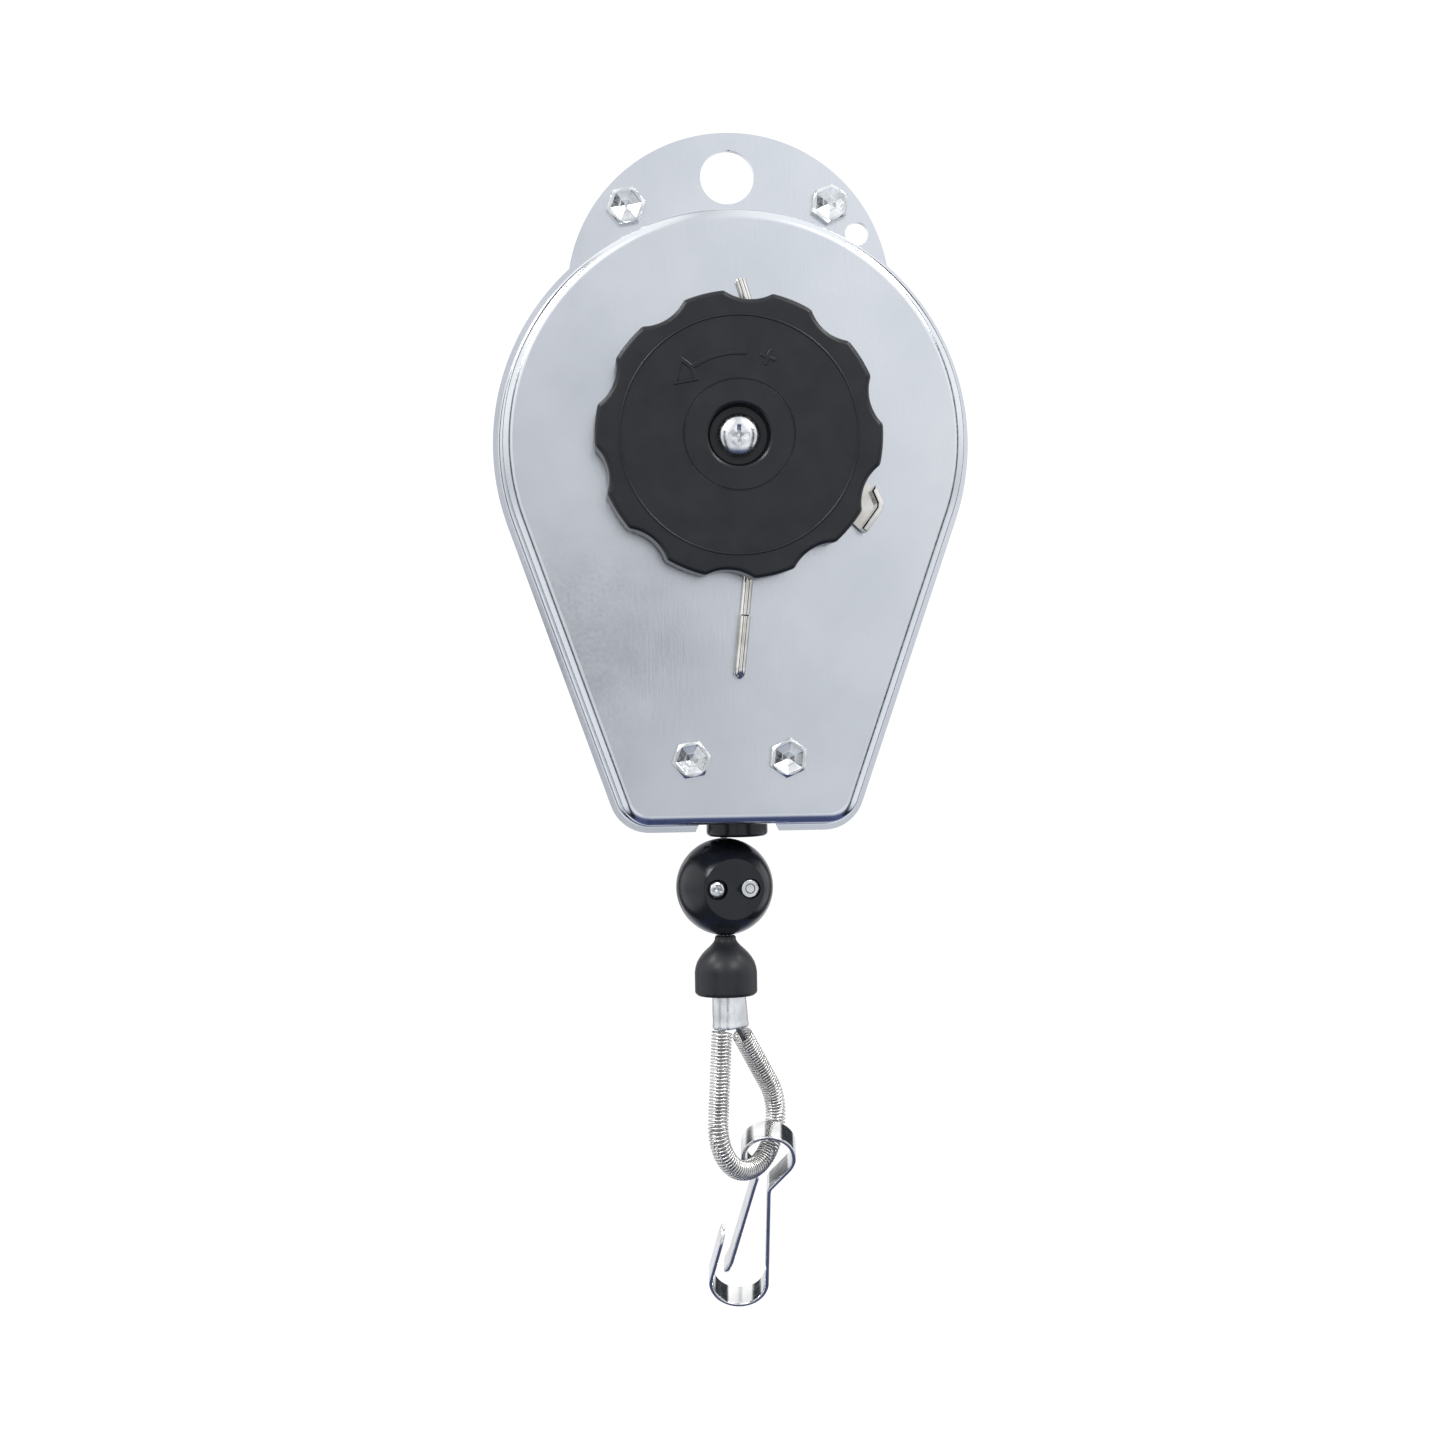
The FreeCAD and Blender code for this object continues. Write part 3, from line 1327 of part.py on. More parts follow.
HOOK_TURN = Rotation(Vector(0, 0, 1), float(size.hook_turn)).multiply(Rotation(Vector(1, 0, 0), float(size.hook_tilt)))
mid = float(size.hook_ring)
neck = Vector(0.0, 0, -float(size.hook_neck))
lean = math.asin(mid / float(size.hook_neck))
meets = Vector(mid * math.cos(lean), 0, -mid * math.sin(lean))
split_turn = math.radians(244)
split_at = Vector(mid * math.cos(split_turn), 0, mid * math.sin(split_turn))
bend_centre = Vector(-9.8, 0, -float(size.hook_leg))
bend = float(size.hook_arc)
leg_foot = bend_centre + Vector(bend, 0, 0)
nose_lean = math.radians(13.7)
nose_foot = bend_centre + Vector(-bend * math.cos(nose_lean), 0, bend * math.sin(nose_lean))
nose_tip = nose_foot + Vector(math.sin(nose_lean), 0, math.cos(nose_lean)) * 17.6


def strip_along(path):
    """The hook's strip bent along a path of the hook plane."""
    start = path.Edges[0]
    at = start.valueAt(start.FirstParameter)
    along = start.tangentAt(start.FirstParameter)
    across = Vector(0, 1, 0).cross(along).normalize() * (float(size.hook_sheet) / 2)
    wide = Vector(0, float(size.hook_width) / 2, 0)
    section = Part.makePolygon([at + across + wide, at + across - wide, at - across - wide, at - across + wide, at + across + wide])
    return swept(path, section)


ring_arc = Part.Arc(split_at, Vector(0, 0, mid), meets).toShape()
leg = rounded_path([meets, neck, leg_foot], [3.0])
foot_arc = Part.Arc(leg_foot, bend_centre - Vector(0, 0, bend), nose_foot).toShape()
nose = Part.LineSegment(nose_foot, nose_tip).toShape()
hook_path = Part.Wire([ring_arc] + leg.Edges + [foot_arc, nose])
ring_z = rim_low - size.ferrule_drop - size.loop_centre_drop - size.ring_below - size.hang_drop
formed("snap_hook", strip_along(hook_path), size.ring_side, size.ring_back, ring_z, HOOK_TURN)

gate_way = (Vector(-4.4, 0, -10.6) - split_at).normalize()
gate_start = split_at + gate_way * 0.62
gate_path = rounded_path(
    [gate_start, Vector(-4.4, 0, -10.6), Vector(-11.9, 0, -39.8), Vector(-13.8, 0, -44.2)],
    [1.6, 4.0],
)
formed("hook_gate", strip_along(gate_path), size.ring_side, size.ring_back, ring_z, HOOK_TURN)


# ---- Check every piece and write it out ----

doc.recompute()
for thing in doc.Objects:
    if "Invalid" in thing.State or "Error" in thing.State:
        raise RuntimeError(f"{thing.Name} {thing.Label} did not recompute: {thing.State}")
os.makedirs("parts", exist_ok=True)
for thing in pieces:
    shape = thing.Shape
    if shape.isNull() or not shape.isValid():
        raise RuntimeError(f"{thing.Label} has no valid shape")
    for solid in shape.Solids:
        if solid.Volume <= 0:
            raise RuntimeError(f"{thing.Label} has an empty solid")
    shape.exportStep(f"parts/{thing.Label}.step")
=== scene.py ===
"""Looks of a spring tool balancer: its pieces remade over the CAD frame, their finishes, and the stage."""

import json
import math

import bpy
from bpy.props import FloatProperty, FloatVectorProperty, IntProperty, PointerProperty
from mathutils import Matrix, Vector

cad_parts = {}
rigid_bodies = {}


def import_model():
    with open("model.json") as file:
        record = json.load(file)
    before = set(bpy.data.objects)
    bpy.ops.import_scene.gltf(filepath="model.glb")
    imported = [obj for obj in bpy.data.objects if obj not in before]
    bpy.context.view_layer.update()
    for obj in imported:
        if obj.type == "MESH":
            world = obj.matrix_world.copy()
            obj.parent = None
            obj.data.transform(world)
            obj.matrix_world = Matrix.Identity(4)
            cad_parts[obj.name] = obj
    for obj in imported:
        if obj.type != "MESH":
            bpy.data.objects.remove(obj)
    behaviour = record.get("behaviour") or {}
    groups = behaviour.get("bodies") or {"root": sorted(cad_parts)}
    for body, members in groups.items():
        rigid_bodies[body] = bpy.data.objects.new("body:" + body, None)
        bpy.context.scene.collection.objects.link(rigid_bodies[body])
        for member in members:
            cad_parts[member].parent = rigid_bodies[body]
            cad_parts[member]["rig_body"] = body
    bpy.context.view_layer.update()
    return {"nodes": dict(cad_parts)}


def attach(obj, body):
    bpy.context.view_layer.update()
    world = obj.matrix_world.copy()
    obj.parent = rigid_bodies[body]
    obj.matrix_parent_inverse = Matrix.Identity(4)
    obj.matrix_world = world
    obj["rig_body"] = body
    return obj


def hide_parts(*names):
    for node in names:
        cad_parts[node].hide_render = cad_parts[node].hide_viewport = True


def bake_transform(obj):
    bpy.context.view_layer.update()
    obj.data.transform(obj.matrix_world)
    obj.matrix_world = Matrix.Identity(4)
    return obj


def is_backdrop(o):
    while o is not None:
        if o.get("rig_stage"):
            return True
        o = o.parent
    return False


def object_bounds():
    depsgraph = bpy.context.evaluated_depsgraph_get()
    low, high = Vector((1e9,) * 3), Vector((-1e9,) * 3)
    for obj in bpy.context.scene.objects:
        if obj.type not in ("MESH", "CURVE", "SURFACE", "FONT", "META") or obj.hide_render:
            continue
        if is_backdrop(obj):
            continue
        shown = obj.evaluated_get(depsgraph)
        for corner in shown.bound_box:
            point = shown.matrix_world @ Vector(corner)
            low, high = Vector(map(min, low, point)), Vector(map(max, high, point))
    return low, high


bl_info = {
    "name": "Tool Balancer",
    "version": (1, 0, 0),
    "blender": (4, 5, 0),
    "location": "3D View > Sidebar > Balancer",
    "description": "Builds the pieces, finishes and stage of a hanging spring tool balancer",
    "category": "Object",
}

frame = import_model()
BACK = Vector((0, 1, 0))
UP = Vector((0, 0, 1))


def mm(value):
    return value * 0.001


ARBOR = Vector((0, 0, mm(-78.0)))


# ---- Working in edit mode ----


def only(piece):
    """Select one piece alone, and make it the active one."""
    bpy.ops.object.select_all(action="DESELECT")
    piece.select_set(True)
    bpy.context.view_layer.objects.active = piece


def add(operator, name, **settings):
    """Add one primitive with nothing else selected, and open it for editing."""
    bpy.ops.object.select_all(action="DESELECT")
    operator(**settings)
    piece = bpy.context.object
    piece.name = name
    bpy.ops.object.mode_set(mode="EDIT")
    bpy.ops.mesh.select_mode(type="VERT")
    bpy.ops.mesh.select_all(action="SELECT")
    return piece


def close(piece):
    """Leave edit mode and settle the piece's place into its mesh."""
    if bpy.context.mode != "OBJECT":
        bpy.ops.object.mode_set(mode="OBJECT")
    piece.data.transform(piece.matrix_world)
    piece.matrix_world = Matrix.Identity(4)
    return piece


def tidy_faces(merge):
    """Merge the corners that fall together, and turn every face outwards."""
    bpy.ops.mesh.select_all(action="SELECT")
    bpy.ops.mesh.remove_doubles(threshold=merge)
    bpy.ops.mesh.normals_make_consistent(inside=False)


def draw_line(name, points):
    """A chain of edges, from one corner pulled out point by point."""
    piece = add(bpy.ops.mesh.primitive_plane_add, name, size=mm(1))
    bpy.ops.mesh.merge(type="CENTER")
    bpy.ops.transform.translate(value=points[0])
    for start, end in zip(points, points[1:]):
        move = Vector(end) - Vector(start)
        bpy.ops.mesh.extrude_vertices_move(TRANSFORM_OT_translate={"value": move})
    bpy.ops.mesh.select_all(action="SELECT")
    return piece


def lathe(name, profile, centre=ARBOR, axis=BACK, steps=96):
    """Spin a profile of (radius, height along the axis) about the axis through the centre."""
    axis = Vector(axis)
    side = Vector((1, 0, 0))
    piece = draw_line(name, [centre + side * radius + axis * height for radius, height in profile])
    bpy.ops.mesh.spin(steps=steps, angle=math.tau, use_auto_merge=True, center=centre, axis=axis)
    tidy_faces(mm(0.001))
    return close(piece)


def arc(cx, cy, radius, start, end, count):
    """Points of an arc in a profile, angles in degrees."""
    turns = [math.radians(start + (end - start) * step / count) for step in range(count + 1)]
    return [(cx + radius * math.cos(turn), cy + radius * math.sin(turn)) for turn in turns]


# ---- Modifiers and joining ----


def modify(piece, kind, **settings):
    """Add a modifier, set it, and apply it."""
    only(piece)
    modifier = piece.modifiers.new(kind.title(), kind)
    for name, value in settings.items():
        setattr(modifier, name, value)
    bpy.ops.object.modifier_apply(modifier=modifier.name)
    return piece


def carve(piece, cutter, operation="DIFFERENCE"):
    """Cut with, or add, another closed mesh, which is then thrown away."""
    modify(piece, "BOOLEAN", object=cutter, operation=operation, solver="EXACT")
    bpy.data.objects.remove(cutter)
    return piece


def join(name, pieces):
    """Join the pieces into the first of them."""
    bpy.ops.object.select_all(action="DESELECT")
    for piece in pieces:
        piece.select_set(True)
    bpy.context.view_layer.objects.active = pieces[0]
    bpy.ops.object.join()
    pieces[0].name = name
    return pieces[0]


def soften(piece, width, segments=2, angle=35):
    """Break the sharp edges, as a tool or a mould does."""
    return modify(
        piece,
        "BEVEL",
        width=width,
        segments=segments,
        limit_method="ANGLE",
        angle_limit=math.radians(angle),
        use_clamp_overlap=True,
        harden_normals=False,
    )


def place(piece, matrix):
    """Move a piece's mesh by a matrix."""
    piece.data.transform(matrix)
    return piece


def copy_of(piece, name):
    """A copy with its own mesh."""
    only(piece)
    bpy.ops.object.duplicate(linked=False)
    copy = bpy.context.object
    copy.name = name
    return copy


def dress(piece, name, body, slot, finish, nodes=(), angle=32):
    """Shade, name, finish and hang one piece on its body, in place of its CAD nodes."""
    piece.name = name
    piece.data.name = name
    only(piece)
    bpy.ops.object.shade_smooth_by_angle(angle=math.radians(angle))
    modify(piece, "WEIGHTED_NORMAL", mode="FACE_AREA", weight=80, keep_sharp=True)
    piece.data.materials.clear()
    piece.data.materials.append(finish)
    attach(piece, body)
    if nodes:
        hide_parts(*nodes)
    return piece


# ---- Finishes ----


def colour(code):
    """An sRGB hex value as the linear colour that a shader takes."""
    parts = [int(code[index : index + 2], 16) / 255 for index in (1, 3, 5)]
    straight = [p / 12.92 if p <= 0.04045 else ((p + 0.055) / 1.055) ** 2.4 for p in parts]
    return (*straight, 1.0)


def node(tree, kind, inputs=None, stops=(), **settings):
    """Add one node with its settings; an input is a value or the output that feeds it.

    The stops of a colour ramp are pairs of place and colour.
    """
    made = tree.nodes.new(kind)
    for name, value in settings.items():
        setattr(made, name, value)
    for socket, value in (inputs or {}).items():
        if isinstance(value, bpy.types.NodeSocket):
            tree.links.new(value, made.inputs[socket])
        else:
            made.inputs[socket].default_value = value
    if stops:
        elements = made.color_ramp.elements
        for index in (0, -1):
            elements[index].position, elements[index].color = stops[index]
        for position, value in stops[1:-1]:
            elements.new(position).color = value
    return made


def new_finish(name):
    """An empty material and its node tree, output node and object coordinates."""
    material = bpy.data.materials.get(name) or bpy.data.materials.new(name)
    material.use_nodes = True
    tree = material.node_tree
    tree.nodes.clear()
    output = node(tree, "ShaderNodeOutputMaterial")
    place = node(tree, "ShaderNodeTexCoord").outputs["Object"]
    return material, tree, output, place


def plated_sheet():
    """Drawn steel sheet, electro zinc plated: a soft satin metal, faintly blue, with cloudy patches."""
    material, tree, output, place = new_finish("zinc_plated_sheet")
    # Plating clouds about 30 mm across, and a rolling grain about 0.6 mm apart along the sheet.
    cloudy = {"Vector": place, "Scale": 34.0, "Detail": 3.0, "Roughness": 0.55}
    clouds = node(tree, "ShaderNodeTexNoise", cloudy)
    tones = [(0.2, colours().sheet_dark[:]), (0.8, colours().sheet_light[:])]
    tint = node(tree, "ShaderNodeValToRGB", {"Fac": clouds.outputs["Fac"]}, tones)
    squeezed = node(tree, "ShaderNodeMapping", {"Vector": place, "Scale": (1.0, 1.0, 0.08)})
    grain = node(tree, "ShaderNodeTexNoise", {"Vector": squeezed.outputs[0], "Scale": 1600.0, "Detail": 2.0})
    specked = {"Vector": place, "Scale": 900.0, "Detail": 3.0, "Roughness": 0.6}
    speck = node(tree, "ShaderNodeTexNoise", specked)
    mottled = {0: clouds.outputs["Fac"], 1: speck.outputs["Fac"], 2: 0.1}
    mottle = node(tree, "ShaderNodeMath", mottled, operation="MULTIPLY_ADD")
    rough = node(
        tree,
        "ShaderNodeMapRange",
        {"Value": mottle.outputs[0], "From Min": 0.2, "From Max": 0.6, "To Min": 0.15, "To Max": 0.24},
    )
    both = {0: grain.outputs["Fac"], 1: speck.outputs["Fac"]}
    fine = node(tree, "ShaderNodeMath", both, operation="ADD")
    bump = node(tree, "ShaderNodeBump", {"Height": fine.outputs[0], "Strength": 0.08, "Distance": 0.0001})
    shader = node(
        tree,
        "ShaderNodeBsdfPrincipled",
        {
            "Base Color": tint.outputs["Color"],
            "Roughness": rough.outputs["Result"],
            "Normal": bump.outputs["Normal"],
            "Metallic": 1.0,
        },
    )
    tree.links.new(shader.outputs[0], output.inputs["Surface"])
    return material


def bare_metal(name, dark, light, smooth, dull, scale, stretch=(1.0, 1.0, 1.0), depth=0.08):
    """A metal with a surface worked in one direction: stretch lengthens its marks along an axis."""
    material, tree, output, place = new_finish(name)
    drawn = node(tree, "ShaderNodeMapping", {"Vector": place, "Scale": stretch})
    marks = node(tree, "ShaderNodeTexNoise", {"Vector": drawn.outputs[0], "Scale": scale, "Detail": 3.0})
    clouds = node(tree, "ShaderNodeTexNoise", {"Vector": place, "Scale": 160.0, "Detail": 2.0})
    tones = [(0.35, colour(dark)), (0.65, colour(light))]
    tint = node(tree, "ShaderNodeValToRGB", {"Fac": clouds.outputs["Fac"]}, tones)
    rough = node(
        tree,
        "ShaderNodeMapRange",
        {"Value": marks.outputs["Fac"], "From Min": 0.3, "From Max": 0.7, "To Min": smooth, "To Max": dull},
    )
    relief = {"Height": marks.outputs["Fac"], "Strength": depth, "Distance": 0.0001}
    bump = node(tree, "ShaderNodeBump", relief)
    shader = node(
        tree,
        "ShaderNodeBsdfPrincipled",
        {
            "Base Color": tint.outputs["Color"],
            "Roughness": rough.outputs["Result"],
            "Normal": bump.outputs["Normal"],
            "Metallic": 1.0,
        },
    )
    tree.links.new(shader.outputs[0], output.inputs["Surface"])
    return material


def moulded(name, deep, worn, smooth, dull, grain, depth):
    """Injection-moulded plastic: a fine spark-eroded grain, and rounder wear where it is handled."""
    material, tree, output, place = new_finish(name)
    skin = node(tree, "ShaderNodeTexVoronoi", {"Vector": place, "Scale": 1000.0 / grain}, feature="SMOOTH_F1")
    handled = {"Vector": place, "Scale": 110.0, "Detail": 4.0, "Roughness": 0.6}
    handling = node(tree, "ShaderNodeTexNoise", handled)
    tones = [(0.35, colour(deep)), (0.7, colour(worn))]
    tint = node(tree, "ShaderNodeValToRGB", {"Fac": handling.outputs["Fac"]}, tones)
    worn_to = {"From Min": 0.3, "From Max": 0.7, "To Min": smooth, "To Max": dull}
    rough = node(tree, "ShaderNodeMapRange", {"Value": handling.outputs["Fac"], **worn_to})
    relief = {"Height": skin.outputs["Distance"], "Strength": depth, "Distance": 0.0001}
    bump = node(tree, "ShaderNodeBump", relief)
    shader = node(
        tree,
        "ShaderNodeBsdfPrincipled",
        {
            "Base Color": tint.outputs["Color"],
            "Roughness": rough.outputs["Result"],
            "Normal": bump.outputs["Normal"],
            "IOR": 1.52,
            "Specular IOR Level": 0.32,
        },
    )
    tree.links.new(shader.outputs[0], output.inputs["Surface"])
    return material


FINISHES = {}


def make_finishes():
    """Make every material once, under the name of what it covers."""
    FINISHES["sheet"] = plated_sheet()
    # Zinc plate on cold-headed screws: bright, with the flow marks of the header, about 0.5 mm.
    FINISHES["zinc"] = bare_metal("zinc_plated_screw", "#BFC2C4", "#DCDEDF", 0.14, 0.3, 1100.0)
    # Nickel plate on drawn wire: bright, lines along the wire.
    FINISHES["nickel_rod"] = bare_metal(
        "nickel_plated_wire", "#BEBBB4", "#DDDBD6", 0.06, 0.15, 1500.0, (1, 1, 0.05)
    )
    # Nickel plate on polished strip: close to a mirror.
    FINISHES["nickel_strip"] = bare_metal(
        "nickel_plated_strip", "#CBCBCB", "#E2E2E2", 0.07, 0.16, 700.0, (1, 1, 0.1)
    )
    # Hard-drawn spring wire, bright nickel plated.
    FINISHES["spring"] = bare_metal("nickel_plated_spring_wire", "#B9B8B5", "#DAD9D6", 0.16, 0.28, 1500.0)
    # Oil-tempered spring strip inside the case: blue-grey and dull.
    FINISHES["temper"] = bare_metal("oil_tempered_spring_strip", "#4A5058", "#6A7078", 0.3, 0.45, 900.0)
    # Galvanised rope wires: grey and dull.
    FINISHES["rope"] = bare_metal("galvanised_rope_wire", "#8B8D8F", "#B4B6B7", 0.32, 0.5, 2200.0)
    # Pressed aluminium sleeve: pale, with the shallow marks of the press.
    FINISHES["ferrule"] = bare_metal("pressed_aluminium", "#C9CBCD", "#E3E4E5", 0.3, 0.46, 420.0, depth=0.16)
    FINISHES["alloy"] = bare_metal("die_cast_aluminium", "#A9ABAD", "#C4C6C8", 0.38, 0.52, 700.0)
    FINISHES["bronze"] = bare_metal("sintered_bronze", "#7E5F36", "#A98350", 0.42, 0.6, 1800.0)
    FINISHES["steel"] = bare_metal("turned_steel", "#7E8287", "#A6AAAE", 0.22, 0.4, 1500.0, (1, 0.05, 1))
    # Glass-filled nylon knob: near black, a satin skin with a grain of about 0.5 mm.
    FINISHES["knob"] = moulded("moulded_nylon", "#0B0D11", "#121419", 0.3, 0.38, 0.5, 0.05)
    # Acetal ball: harder and glossier than the knob.
    FINISHES["ball"] = moulded("moulded_acetal", "#0E1014", "#16181C", 0.16, 0.26, 0.8, 0.02)
    # Soft PVC cap: dull.
    FINISHES["cap"] = moulded("moulded_pvc", "#111317", "#1A1C20", 0.36, 0.48, 0.5, 0.06)


# ---- Sizes and colours that a user would change ----


def length(name, description, value):
    """A length that a user may change, its value given in millimetres."""
    return FloatProperty(name=name, description=description, default=mm(value), unit="LENGTH")


def tone(name, description, code):
    """A colour that a user may change."""
    return FloatVectorProperty(
        name=name, description=description, subtype="COLOR", size=4, default=colour(code)
    )


class BalancerSizes(bpy.types.PropertyGroup):
    """Sizes of the balancer's looks, in metres."""

    sheet: length("Sheet", "Steel sheet of the case", 2.0)
    flange: length("Flange", "Flange past the case wall", 3.0)
    knob: length("Knob radius", "Knob over its lobes", 40.3)
    lobes: IntProperty(name="Knob lobes", description="Lobes round the knob", default=10, min=3)
    ball: length("Ball radius", "Stop ball", 14.3)
    rope: length("Rope radius", "Steel wire rope", 1.0)
    rod: length("Wire radius", "Release wire", 1.5)
    coil_wire: length("Coil wire", "Wire of the spring guard", 0.66)
    coil_pitch: length("Coil pitch", "Spring guard turn to turn", 1.06)
    strip: length("Hook strip", "Width of the hook strip", 8.4)
    strip_thick: length("Strip gauge", "Hook strip thickness", 1.2)


class BalancerColours(bpy.types.PropertyGroup):
    """Main colours of the balancer's finishes."""

    sheet_dark: tone("Sheet, dark", "Cloudy parts of the zinc plate", "#C6CACF")
    sheet_light: tone("Sheet, light", "Clear parts of the zinc plate", "#D4D7DB")
    backdrop: tone("Backdrop", "Pale floor under the part", "#F2F2F2")


def sizes():
    """The sizes that the panel shows."""
    return bpy.context.scene.balancer_sizes


def colours():
    """The colours that the panel shows."""
    return bpy.context.scene.balancer_colours


# ---- The case ----

# The case narrows towards its foot by this much at each side.
TAPER = math.radians(19.25)


def pear(grow):
    """Corners of the case outline about the arbor, seen from the front, standing out by grow."""
    top, low, drop = mm(66.6), mm(9.0), mm(110.3)
    high = low - drop
    side = (top - low + high * math.sin(TAPER)) / math.cos(TAPER)
    taper = math.degrees(TAPER)
    corners = arc(0, 0, top + grow, -taper, 180 + taper, 120)
    corners += arc(-side, high, low + grow, 180 + taper, 270, 14)
    corners += arc(side, high, low + grow, 270, 360 - taper, 14)
    return corners


def round_outline(x, z, radius, count=64):
    """Corners of a full circle, the last not repeated."""
    return arc(x, z, radius, 0, 360, count)[:-1]


def level(outline, y, centre=ARBOR):
    """An outline about the arbor, put at one depth."""
    return [(centre.x + x, y, centre.z + z) for x, z in outline]


def skin(name, sections, ends=True):
    """Roll a grid up into a tube, one row of it at each section, and close its seam and its ends."""
    count = len(sections[0])
    piece = add(
        bpy.ops.mesh.primitive_grid_add,
        name,
        x_subdivisions=count,
        y_subdivisions=len(sections) - 1,
        size=mm(10),
    )
    bpy.ops.object.mode_set(mode="OBJECT")
    corners = iter(piece.data.vertices)
    for section in sections:
        for spot in [*section, section[0]]:
            next(corners).co = spot
    bpy.ops.object.mode_set(mode="EDIT")
    tidy_faces(mm(0.0005))
    if ends:
        bpy.ops.mesh.fill_holes(sides=0)
        bpy.ops.mesh.normals_make_consistent(inside=False)
    return close(piece)


def pan(name, face, start, foot, depth, bend, grow):
    """The drawn part of a case half: its foot flares into the flange and its rim is rolled over."""
    rows = [(grow + foot, start)]
    if foot:
        rows += [(x, y) for x, y in arc(grow + foot, mm(2.0) + foot, foot, 270, 180, 5)]
    rows += [(x, y) for x, y in arc(grow - bend, depth - bend, bend, 0, 90, 9)]
    return skin(name, [level(pear(out), face * deep) for out, deep in rows])


def pin_cutter(x, z, radius, low=mm(-60), high=mm(60), steps=64):
    """A round tool along Y, at a place from the arbor."""
    outline = round_outline(x, z, radius, steps)
    return skin("cutter", [level(outline, low), level(outline, high)])


def case_half(name, face, depth, bend, extra_holes):
    """One half of the case: flange and ear plate, the pan drawn out of it, its hollow and its holes."""
    sheet, flange = sizes().sheet, sizes().flange
    half = pan(name, face, mm(1.0), mm(1.6), depth, bend, 0.0)
    rim = level(pear(flange), 0.0), level(pear(flange), face * sheet)
    carve(half, skin("flange", rim), "UNION")
    ear = round_outline(0, mm(43.7), mm(47.2), 200)
    carve(half, skin("ear", [level(ear, 0.0), level(ear, face * sheet)]), "UNION")
    carve(half, pan("hollow", face, mm(-3.0), 0.0, depth - sheet, bend - sheet, -sheet))
    holes = [(0, 78.0, 7.9), (37.8, 61.2, 3.5), (0, 0, 7.5)]
    holes += [(side * 29.7, 69.6, 3.3) for side in (-1, 1)]
    holes += [(side * 13.9, -91.2, 3.3) for side in (-1, 1)]
    for x, z, radius in holes + extra_holes:
        carve(half, pin_cutter(mm(x), mm(z), mm(radius)))
    notch = [(mm(x), mm(z)) for x, z in ((-13.7, -116.3), (13.7, -116.3), (10.9, -110.3), (-10.9, -110.3))]
    carve(half, skin("notch", [level(notch, mm(-9)), level(notch, mm(9))]))
    centre = ARBOR + UP * mm(-107)
    throat = [[(x, y, centre.z + rise) for x, y in round_outline(0, 0, mm(7.05))] for rise in (mm(-6), mm(6))]
    carve(half, skin("throat", throat))
    return soften(half, mm(0.22), 2, 40)


class BALANCER_OT_case(bpy.types.Operator):
    """Draw both halves of the case out of sheet, with their shared ear."""

    bl_idname = "balancer.case"
    bl_label = "Case halves"

    def execute(self, context):
        lean = math.radians(11.0)
        rivets = [
            (4.8 + side * 7.2 * math.cos(lean), -24.0 - side * 7.2 * math.sin(lean), 1.5) for side in (-1, 1)
        ]
        front = case_half("front_case_half", -1, mm(20), mm(3.2), rivets + [(22.0, -14.0, 2.5)])
        dress(front, "front_case_half", "housing", "sheet_steel", FINISHES["sheet"], ["front_cover"])
        rear = case_half("rear_case_half", 1, mm(38), mm(5), [])
        dress(rear, "rear_case_half", "housing", "sheet_steel", FINISHES["sheet"], ["rear_cover"])
        return {"FINISHED"}


# ---- Screws, bolts and nuts, drawn upright about the Z axis and then put in place ----


def standing(outline, height):
    """An outline across the Z axis, put at one height."""
    return [(x, y, height) for x, y in outline]


def upright_pin(name, radius, low, high, steps):
    """A round tool along the Z axis."""
    outline = round_outline(0, 0, radius, steps)
    return skin(name, [standing(outline, low), standing(outline, high)])


def hex_blank(name, flats, height, dish):
    """A hexagon drawn row by row: its corners are turned off above, and its crown is dished in six facets."""
    corner, steps = flats / 2 / math.cos(math.radians(30)), 72

    def row(reach, rise, limit):
        spots = []
        for step in range(steps):
            turn = math.tau * step / steps
            away = flats / 2 / math.cos((turn % (math.tau / 6)) - math.radians(30)) * reach
            away = min(away, limit)
            spots.append((away * math.cos(turn), away * math.sin(turn), rise))
        return spots

    fall = (corner - flats / 2 * 0.96) * math.tan(math.radians(30))
    rows = [row(1.0, 0.0, corner)]
    for share in (1.3, 1.0, 0.8, 0.6, 0.4, 0.2, 0.0):
        rows.append(row(1.0, height - fall * share, flats / 2 * 0.96 + (corner - flats / 2 * 0.96) * share))
    if dish > 0:
        for reach, drop in ((0.8, 0.0), (0.76, 0.1), (0.4, 0.62)):
            rows.append(row(reach, height - drop * dish, corner))
        rows += [row(0.34, height - dish * 0.6, corner), row(0.1, height - dish * 1.0, corner)]
    else:
        rows.append(row(0.85, height, corner))
    return skin(name, rows)


def thread(name, radius, low, high, pitch):
    """A shank whose last stretch shows its thread as rings one pitch apart."""
    profile = [(0, low), (radius, low)]
    at = high - 6 * pitch
    while at < high - pitch:
        profile += [(radius, at), (radius, at + pitch * 0.15), (radius * 0.86, at + pitch * 0.5)]
        profile += [(radius, at + pitch * 0.85)]
        at += pitch
    profile += [(radius * 0.84, high), (0, high)]
    return lathe(name, profile, Vector((0, 0, 0)), UP, 48)


def stand_to(x, z, y, outward, roll=0.0):
    """The move from upright about Z to lying along Y at a place from the arbor."""
    turn = Matrix.Rotation(math.radians(90 if outward < 0 else -90), 4, "X")
    return Matrix.Translation(ARBOR + Vector((x, y, z))) @ turn @ Matrix.Rotation(math.radians(roll), 4, "Z")


